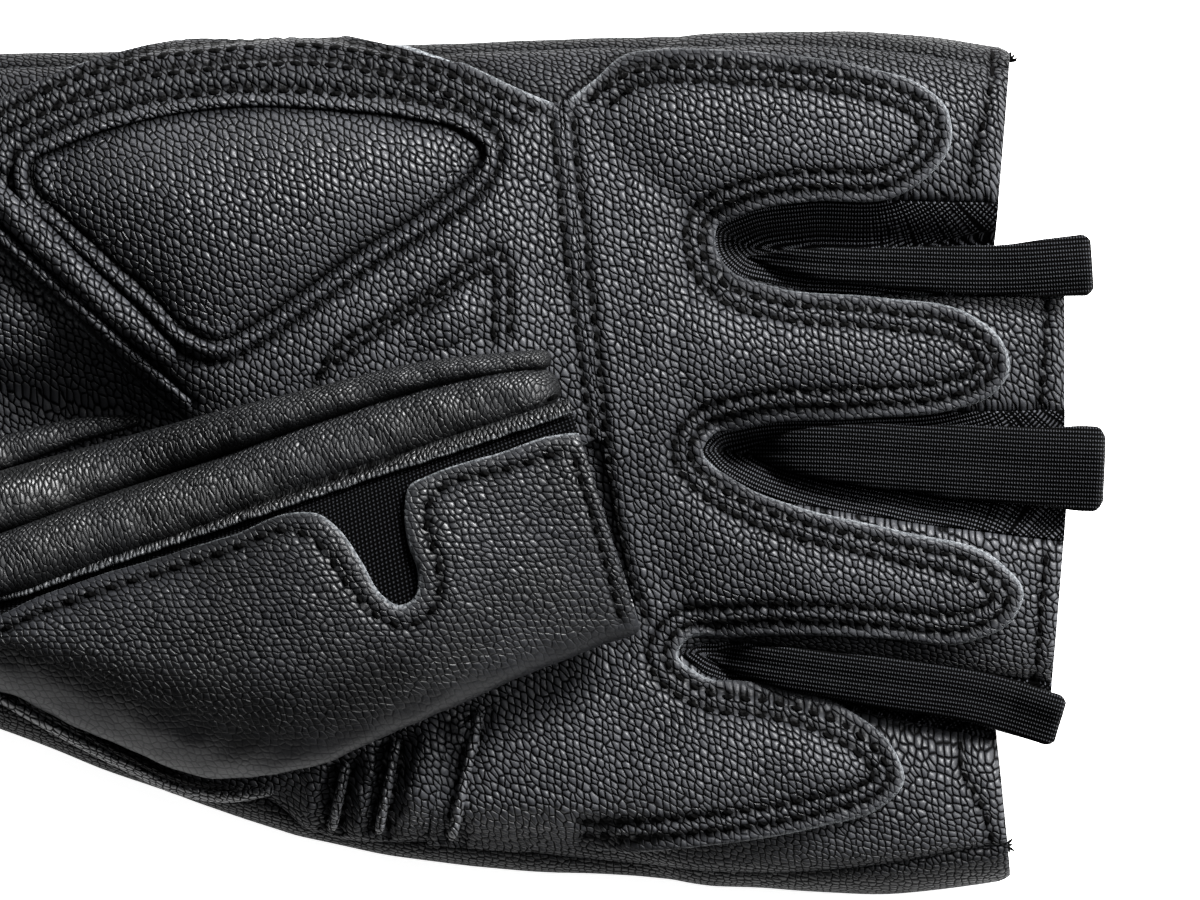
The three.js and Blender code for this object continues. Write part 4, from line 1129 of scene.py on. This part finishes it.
def swelled(points, faces, held, press):
    """Points of a pad after its cloth has settled: held ones stay, the others move up to a cap."""
    piece = make_piece("cloth", points * CLOTH_SCALE, faces)
    seam = piece.vertex_groups.new(name="seam")
    seam.add([int(i) for i in np.flatnonzero(held)], 1.0, "ADD")
    cloth = piece.modifiers.new("cloth", "CLOTH")
    cloth.settings.quality = 6
    cloth.settings.use_pressure = True
    cloth.settings.uniform_pressure_force = press
    cloth.settings.vertex_group_mass = "seam"
    cloth.settings.effector_weights.gravity = 0.0
    cloth.point_cache.frame_end = CLOTH_FRAMES
    for step in range(1, CLOTH_FRAMES + 1):
        bpy.context.scene.frame_set(step)
    shown = piece.evaluated_get(bpy.context.evaluated_depsgraph_get()).to_mesh()
    settled = np.empty(len(shown.vertices) * 3, np.float32)
    shown.vertices.foreach_get("co", settled)
    bpy.context.scene.frame_set(1)
    bpy.data.objects.remove(piece)
    moved = settled.reshape(-1, 3) / MM / CLOTH_SCALE - points
    size = np.linalg.norm(moved, axis=1)
    print("cloth moved by up to", round(float(size.max()), 2), "mm")
    return points + moved * np.minimum(1, SWELL_CAP / np.maximum(size, 1e-9))[:, None]


# %% Pads
SOFTEN = 110  # rounds of evening out, which take the ridges off a crown
SEAM_HELD = 0.35  # mm beside the outline that the seam holds
PAD_UNDER = 0.6  # how far a pad's underside lies below its base
WEDGE = [(-1.6, 11.6), (3.4, 15), (9.8, 19.2), (13.4, 21.4), (14.6, 20.6), (15, 15.4), (13.2, 14.2),
         (5, 12.4)]


def pad(name, outline, crown, reach, node_name, fill, base):
    """Crown x (1 - (1 - d / reach)^2.2), evened out, d being the distance to the outline."""
    field = distance_chart(route(outline, 0.8, closed=True), cell=0.4)
    points, faces, normals, deep = cut(coarse, zone(field, OVERLAY_LOW))
    full = 1 - (1 - np.clip(field.values / reach, 0, 1)) ** 2.2
    for _ in range(SOFTEN):
        full = np.where(field.values > 0, blurred(full), 0)
    field.values = full / full.max()
    top = points + normals * (base + crown * field.read(points))[:, None]
    points, faces = closed_sheet(top, points + (base - PAD_UNDER) * normals, faces)
    held = np.r_[deep < SEAM_HELD, np.ones(len(top), bool)]
    points = swelled(points, faces, held, 6.0 * fill)
    points[: len(top)] += 0.1 * normals * waves(top, 7, 9)[:, None]
    # painted shade along the pad's seam
    dark = 0.9 * (1 - eased(deep, 0.1, 1.5))
    piece = make_piece(name, points, faces, pad_leather, cavity=twice(dark))
    finer = piece.modifiers.new("finer", "SUBSURF")
    finer.levels = finer.render_levels = 1
    return finished(piece, "padded_leather", node_name)


pad("heel_cushion", HEEL_PAD, 4.2, 11.0, "heel_pad", 0.8, OVERLAY + CLEAR)
pad("wedge_cushion", WEDGE, 1.1, 2.4, "wedge_pad", 0.6, OVERLAY + CLEAR + 0.5)

# %% Corded edge of the heel pad
CORD, CORD_TWIST = 1.5, 1.1  # diameter and length of a twist
CORD_OUT = 1.15  # from the pad's outline to the middle of the cord
CORD_STEP, CORD_SIDES = 0.25, 16
STRAND = 0.1  # how far the strands of its twist stand out
cord_line = route(HEEL_PAD, CORD_STEP, closed=True)
closed_heading = np.gradient(np.vstack([cord_line[-1:], cord_line, cord_line[:1]]), axis=0)[1:-1]
closed_heading /= np.linalg.norm(closed_heading, axis=1)[:, None]
outward = np.column_stack([-closed_heading[:, 1], closed_heading[:, 0]])
cord_line = cord_line + CORD_OUT * outward
sides = np.linspace(0, 2 * math.pi, CORD_SIDES, endpoint=False)
walk = CORD_STEP * np.arange(len(cord_line))[:, None]
radius = CORD / 2 - STRAND + STRAND * np.abs(np.sin(math.pi * walk / CORD_TWIST + sides))
xy = cord_line[:, None] + outward[:, None] * (radius * np.cos(sides))[..., None]
z = on_overlay(xy.reshape(-1, 2)).reshape(radius.shape) + CORD * 0.55 + radius * np.sin(sides)
points = np.column_stack([xy.reshape(-1, 2), z.ravel()])
faces = grid_faces(len(cord_line), CORD_SIDES, wrap_rows=True, wrap_columns=True)[:, ::-1]
finished(make_piece("heel_pad_cord", points, faces, heel_leather), "leather", "heel_bead")

# %% [markdown]
# ## The thumb
# The thumb is a short sleeve that lies flat across the palm. Its outer side is a leather panel and
# its upper side, beside the folds, is fine mesh that also fills the V notch. Both are rings of
# superellipses from the mouth to the base: the leather is the outer ring, the mesh lies inside it.

# %% Thumb rings
THUMB = [  # upper side x and y, lower side x and y, height, floor over the palm
    (25.4, 7, 34, -20.4, 11, 0), (14, 3.2, 20.4, -25.6, 12.5, 0), (2, -0.6, 6.6, -31.6, 13.6, 0),
    (-9, -4.2, -6, -36.6, 14.2, 0), (-19, -7.4, -17.6, -38, 13.6, -8),
    (-30, -11, -30, -33.6, 11.6, -10), (-42, -15.2, -42.4, -27.8, 8.2, -10),
    (-54, -19.4, -54.4, -24.4, 4, -9),
]
THUMB_CLEAR = 2.0
THUMB_BOXY = 2.05
THUMB_LOW = 1.5  # the sleeve's inside stays above the floor
MOUTH_TURN, CUT_DROP = 0.45, 0.55  # mm that the leather turns down at the mouth and at its cut edge


def thumb_rings(inset, angles, step=0.4):
    """Rings of superellipses between the thumb's two sides, from its mouth to its base: points,
    outward directions (the cross product of the two ways along the grid), grid shape and walk."""
    rows = np.array(THUMB, float)
    middle = (rows[:, :2] + rows[:, 2:4]) / 2
    line = route(np.column_stack([middle, rows]), step)[:, 2:]
    high, low, tall, floor = line[:, :2], line[:, 2:4], line[:, 4], line[:, 5]
    across = low - high
    half = np.linalg.norm(across, axis=1) / 2
    u, up = bent(angles, THUMB_BOXY)
    xy = (high + low)[:, None] / 2 + (across / 2 / half[:, None])[:, None] * (
        (half[:, None] - inset) * u)[..., None]
    flat = xy.reshape(-1, 2)
    height = (tall - floor)[:, None] / 2
    z = ground.read(flat).reshape(xy.shape[:2]) + THUMB_CLEAR + floor[:, None] + height
    z = np.maximum(z + up * (height - inset), THUMB_LOW)
    points = np.column_stack([flat, z.ravel()])
    grid = points.reshape(*z.shape, 3)
    out = np.cross(np.gradient(grid, axis=1), np.gradient(grid, axis=0)).reshape(-1, 3)
    out /= np.maximum(np.linalg.norm(out, axis=1), 1e-9)[:, None]
    return points, out, z.shape, np.repeat(step * np.arange(len(line)), len(angles))


thumb_outline = np.vstack([thumb_raw, mm_line((700, 436), (700, 960), (-220, 960), (-220, 680))])
thumb_field = distance_chart(thumb_outline, cell=0.4)


def on_top(data):
    """Distance inside the thumb's cut line where the side faces up, and 5 elsewhere."""
    return np.where(data[:, 5] > -0.15, thumb_field.read(data), 5.0)


angles = np.linspace(math.radians(-75), math.radians(183), 128)
points, normals, shape, walk = thumb_rings(0.0, angles)
data = np.column_stack([points, normals, walk])
data, faces = clipped(data, grid_faces(*shape)[:, ::-1], on_top(data))
points, normals, walk = data[:, :3], data[:, 3:6], data[:, 6]
deep = on_top(data)
upward = eased(normals[:, 2], 0.1, 0.5)
mouth_turn = MOUTH_TURN * rolled(walk, 1.2)
wrinkle = 0.22 * waves(points, 13, 11) + 0.1 * waves(points, 5, 12)
drop = CUT_DROP * (1 - eased(deep, -0.1, RAW))
lift = upward * layers["thumb"].read(points) - drop - mouth_turn
top = points + normals * (lift + wrinkle)[:, None]
top, faces = closed_sheet(top, points - WALL * normals, faces)
to_cut = distance_to(points, thumb_raw)[0]
edge = (1 - eased(deep, 0.05, 0.45)) * (to_cut < 1.2)
aside = -normals[:, 1]  # 1 where the leather faces away from the folds
stretched = 0.25 + 0.65 * eased(aside, 0.3, 0.65)
stretched = np.maximum(stretched, 0.75 * (1 - eased(to_cut, 0.9, 1.6)))
# painted shade: darkest on the far side, towards the base, and over the thumb's ball
painted_thumb_shade = 0.8 * eased(aside, 0.0, 0.35) * (1 - 0.5 * eased(aside, 0.35, 0.85))
painted_thumb_shade *= 1 - 0.7 * eased(points[:, 0], 0, 18)
painted_thumb_shade = np.maximum(painted_thumb_shade, 0.35 * np.exp(-(((points[:, 0] + 12) / 15) ** 2)))
shade_mask = np.maximum(upward * painted_shade_charts["thumb"].read(points), painted_thumb_shade)
sewn_into["thumb"].append(np.hstack([top[: len(points)], normals])[upward > 0])
thumb_piece = make_piece("thumb_leather", top, faces, thumb_leather, raw=twice(edge),
                         cavity=face_only(shade_mask), taut=twice(stretched))
finished(thumb_piece, "leather", "thumb_panel")

# %% Mesh gusset of the thumb
angles = np.linspace(math.radians(55), math.radians(262), 64)
points, normals, shape, walk = thumb_rings(1.3, angles, step=0.8)
steps = np.linalg.norm(np.diff(points.reshape(*shape, 3), axis=1), axis=2)
girth = np.hstack([np.zeros((shape[0], 1)), np.cumsum(steps, 1)]).ravel()
top, faces = closed_sheet(points, points - 0.7 * normals, grid_faces(*shape)[:, ::-1])
gusset = make_piece("thumb_mesh", top, faces, fine_mesh, across=twice(girth), along=twice(walk))
finished(gusset, "fine_mesh", "thumb_gusset")

# %% Strip that joins the lower fold to the mesh
STRIP_WIDE, STRIP_THICK = 2.1, 0.7
STRIP_OUT = np.array([-0.3, 1.0])  # moved towards the fold, so that a dark slit shows below it
angles = np.linspace(math.radians(136), math.radians(186), 40)
points, normals, shape, walk = thumb_rings(0.35, angles, step=0.5)
reach, _ = distance_to(points, route(np.array(THUMB)[:, :2], 0.5))
points[:, :2] += STRIP_OUT
data, faces = clipped(np.column_stack([points, normals, reach, walk]), grid_faces(*shape)[:, ::-1],
                      STRIP_WIDE - reach + 0.12 * waves(points, 3, 21))
points, normals, reach, walk = data[:, :3], data[:, 3:6], data[:, 6], data[:, 7]
lift = layers["thumb"].read(points) * 0.7 - 0.35 * eased(reach, STRIP_WIDE - 0.5, STRIP_WIDE)
strip_top = points + normals * lift[:, None]
top, faces = closed_sheet(strip_top, points - STRIP_THICK * normals, faces)
sewn_into["thumb"].append(np.hstack([strip_top, normals]))
edge = 0.3 * eased(reach, STRIP_WIDE - 0.35, STRIP_WIDE - 0.1)
strip = make_piece("fold_seam_strip", top, faces, fold_leather, raw=twice(edge),
                   cavity=face_only(painted_shade_charts["thumb"].read(points)), across=twice(reach),
                   along=twice(walk))
finished(strip, "leather")

# %% [markdown]
# ## Pull tabs
# A knit strip is folded double at each fork of the fingers and sewn so that its free end sticks
# out: it is what you pull to take the glove off. The two layers meet in a soft crease.

# %% Pull tabs
TABS = {
    1: [(47, 24.6, 1.6), (54, 23.8, 3.4), (66, 23.2, 5), (78, 23, 6.2), (88.2, 23.6, 7.6)],
    2: [(47, 1.2, 3), (56, 1, 6.4), (68, 0.2, 8.2), (80, -0.6, 9.4), (89.7, -1, 10.2)],
    3: [(42, -23.4, 2.6), (52, -25, 5), (64, -26.8, 6), (75, -28.6, 6.2), (84.4, -31.4, 6.5)],
}
TAB_THICK, TAB_LIFT = 2.2, 0.5
TAB_REST = 76.0  # x past which a tab has nothing under it and runs on level
ROOT_DROP, ROOT_LENGTH = 2.4, 9.0  # how far a tab's sewn end lies in the fork
SWAY, SWAY_LENGTH = 0.45, 12.0  # the free end is a little wavy
CORNER = 0.42  # how much its corners are rounded
STEP = 0.4


def pull_tab(k, rows, around=56):
    """Flat tube: u = half width x cos, z = half thickness x sin, with a crease along the middle."""
    line = route(rows, STEP)
    side = beside(line, 1.0) - line[:, :2]
    angle = np.linspace(0, 2 * math.pi, around, endpoint=False)
    u, up = bent(angle, 3.2)
    half = line[:, 2] / 2 * np.sqrt(eased(line[:, 0], line[0, 0] - 0.4, line[0, 0] + 5))
    walk = STEP * np.arange(len(line))
    half = half * (1 + 0.035 * waves(walk[:, None] + 31.0 * k, 13, k))
    half = half * rounded(walk[-1] - walk, 1.2, CORNER)
    xy = line[:, None, :2] + side[:, None] * (half[:, None] * u)[..., None]
    reach = np.column_stack([np.minimum(line[:, 0], TAB_REST), line[:, 1]])
    edges = [reach + side * (half * s)[:, None] for s in (-1, 1)]
    rest = np.maximum(*(ground.read(edge) for edge in edges)) + TAB_LIFT + TAB_THICK / 2
    thick = TAB_THICK / 2 * (1 - 0.3 * np.exp(-((u * half[:, None] / 0.5) ** 2)))
    thick = thick * rounded(walk[-1] - walk + 0.1, 0.9)[:, None]
    rooted = 1 - eased(line[:, 0], line[0, 0], line[0, 0] + ROOT_LENGTH)
    rest = rest - ROOT_DROP * rooted**1.5
    z = rest[:, None] + up * thick
    sway = SWAY * eased(line[:, 0], line[-1, 0] - SWAY_LENGTH, line[-1, 0])
    z = z + sway[:, None] * np.sin(u * 3.2 + k)
    points = np.column_stack([xy.reshape(-1, 2), z.ravel()])
    faces = grid_faces(len(line), around, wrap_columns=True)
    points, faces = capped(points, faces, around)
    walk = np.repeat(walk, around)
    girth = (half[:, None] * u).ravel()
    piece = make_piece(f"pull_tab_knit_{k}", points, faces, tab_knit, across=with_tips(girth),
                       along=with_tips(walk))
    finished(piece, "rib_knit", f"pull_tab_{k}")


for k, rows in TABS.items():
    pull_tab(k, rows)

# %% [markdown]
# ## Threads
# Every stitch that was pressed into the relief gets its thread: a short spindle of a few faces,
# lying in its pit. All spindles of a layer are made at once from one small pattern.

# %% Threads
AROUND, RINGS = 6, 5  # a few dozen faces are enough for a thread
NEAR = 0.6  # mm in which a stitch finds the leather that it sits on
THREAD_RISE, THREAD_BOW = 0.55, 0.3  # how high its middle lies and how far its ends dip


def spindle():
    """Unit spindle along u from -1 to 1: rings of radius sqrt(1 - u^4), closed to a tip each end."""
    u = np.linspace(-0.9, 0.9, RINGS)
    size = np.sqrt(1 - u**4)
    angle = np.linspace(0, 2 * math.pi, AROUND, endpoint=False)
    ring = np.stack([np.repeat(u, AROUND), np.outer(size, np.cos(angle)).ravel(),
                     np.outer(size, np.sin(angle)).ravel()], 1)
    points, faces = capped(ring, grid_faces(RINGS, AROUND, wrap_columns=True), AROUND)
    points[-2], points[-1] = (-1, 0, 0), (1, 0, 0)
    three = faces[:, 2] == faces[:, 3]
    return points, np.where(three[:, None], faces[:, [1, 0, 2, 3]], faces[:, ::-1])


def repeated(faces, size, count):
    """Faces of count copies of a shape that has size points."""
    return (faces[None] + size * np.arange(count)[:, None, None]).reshape(-1, 4)


def threads(name, layer):
    """One mesh of a layer's threads: each spindle lies in the pit and follows the leather's slope."""
    shape, faces = spindle()
    spots = np.vstack([row[0] for row in sewn[layer]])
    turn, length, thick = (np.concatenate([np.broadcast_to(row[k], len(row[0])) for row in sewn[layer]])
                           for k in (1, 2, 3))
    base, slope = np.full(len(spots), -1.0), np.zeros((len(spots), 2))
    for leather_face in sewn_into[layer]:
        for k, spot in enumerate(spots[:, :2]):
            gap = ((leather_face[:, :2] - spot) ** 2).sum(1)
            near = leather_face[gap.argmin()]
            tilt = np.clip(-near[3:5] / max(near[5], 0.3), -1.5, 1.5)
            height = near[2] + (spot - near[:2]) @ tilt
            if gap.min() < NEAR and height > base[k]:
                base[k], slope[k] = height, tilt
    kept = base > 0
    spots, turn, length, thick = spots[kept], turn[kept], length[kept], thick[kept]
    base, slope = base[kept], slope[kept]
    c, s = np.cos(turn)[:, None], np.sin(turn)[:, None]
    u, v = shape[:, 0] * length[:, None] / 2, shape[:, 1] * thick[:, None]
    aside = np.stack([c * u - s * v, s * u + c * v], -1)
    z = base[:, None] + (aside * slope[:, None]).sum(-1)
    z = z + thick[:, None] * (THREAD_RISE + shape[:, 2]) - THREAD_BOW * shape[:, 0] ** 2
    points = np.column_stack([(spots[:, None, :2] + aside).reshape(-1, 2), z.ravel()])
    faces = repeated(faces, len(shape), len(spots))
    finished(make_piece(name, points, faces, thread), "thread")
    print(name, len(spots), "stitches")


for name, layer in (("overlay_stitches", "overlay"), ("edge_stitches", "palm"),
                    ("thumb_stitches", "thumb")):
    threads(name, layer)

# %% Thread ends at the mouths
SEAM_ENDS = [(78.3, 48.2, 8.5), (78.0, -46.4, 8.5)]  # where the side seams end at the mouths
LOOSE = 5  # thread ends at each
shape, faces = spindle()
draw = np.random.default_rng(31)
ways = draw.normal(size=(2 * LOOSE, 3)) + (1.2, 0, 0)
ways /= np.linalg.norm(ways, axis=1)[:, None]
crossing = np.cross(ways, (0, 0, 1.0))
crossing /= np.linalg.norm(crossing, axis=1)[:, None]
rising = np.cross(ways, crossing)
long, thin = draw.uniform(0.5, 1.0, (2 * LOOSE, 1)), 0.17
starts = np.repeat(SEAM_ENDS, LOOSE, axis=0) + 0.5 * ways
points = (starts[:, None] + shape[None, :, :1] * (long * ways)[:, None]
          + thin * (shape[None, :, 1:2] * crossing[:, None] + shape[None, :, 2:] * rising[:, None]))
faces = repeated(faces, len(shape), 2 * LOOSE)
finished(make_piece("seam_thread_ends", points.reshape(-1, 3), faces, thread), "thread")

# %% [markdown]
# ## Floor and light
# The main light box stands low beyond the tips on the little finger's side, so that each pebble and
# each bulge is bright on that side and dark on the other. A weak one overhead opens the shadows, one
# past the fingers reaches the folds beside the thumb, and a long low strip on the thumb's side draws
# a faint sheen along it. The paper floor glows, as a lit table does, and stays white.

# %% Floor and light
FLOOR_SIZE = 3.0
floor_points = np.array([(-1, -1, 0), (1, -1, 0), (1, 1, 0), (-1, 1, 0)]) * FLOOR_SIZE / MM / 2
floor_points[:, 2] = -0.05
paper = finish_of("pale_paper_floor")
grain = node(paper, "TexNoise", {"Scale": 40.0, "Detail": 3.0,
                                 "Vector": node(paper, "TexCoord").outputs["Object"]})
white = node(paper, "Mix", {0: grain, 6: shade("fdfdfd"), 7: shade("f8f8f8")}, **BLEND).outputs[2]
node(paper, "OutputMaterial", {"Surface": node(paper, "BsdfPrincipled", {
    "Base Color": white, "Roughness": 0.9, "Emission Color": white, "Emission Strength": 1.0})})
floor = make_piece("floor", floor_points, np.array([[0, 1, 2, 3]]), paper, smooth=False)

AIM = (15.0, 0.0, 15.0)


def light_box(name, place, size, watts):
    """A soft rectangular light at a place in mm, turned to face the glove."""
    lamp = bpy.data.lights.new(name, "AREA")
    lamp.shape, lamp.size, lamp.size_y, lamp.energy = "RECTANGLE", size[0] * MM, size[1] * MM, watts
    box = bpy.data.objects.new(name, lamp)
    box.location = [v * MM for v in place]
    away = box.location - type(box.location)([v * MM for v in AIM])
    box.rotation_euler = away.to_track_quat("Z", "Y").to_euler()
    box.visible_camera = False
    bpy.context.scene.collection.objects.link(box)


light_box("key", (320, 350, 320), (240, 150), 12.5)
light_box("overhead", (160, 140, 950), (300, 300), 1.3)
light_box("side", (560, 60, 280), (200, 200), 2.8)
light_box("low strip", (-60, -800, 330), (700, 120), 0.15)
world = bpy.data.worlds.new("soft room")
world.use_nodes = True
world.node_tree.nodes["Background"].inputs["Color"].default_value = shade("ffffff")
world.node_tree.nodes["Background"].inputs["Strength"].default_value = 0.02
bpy.context.scene.world = world
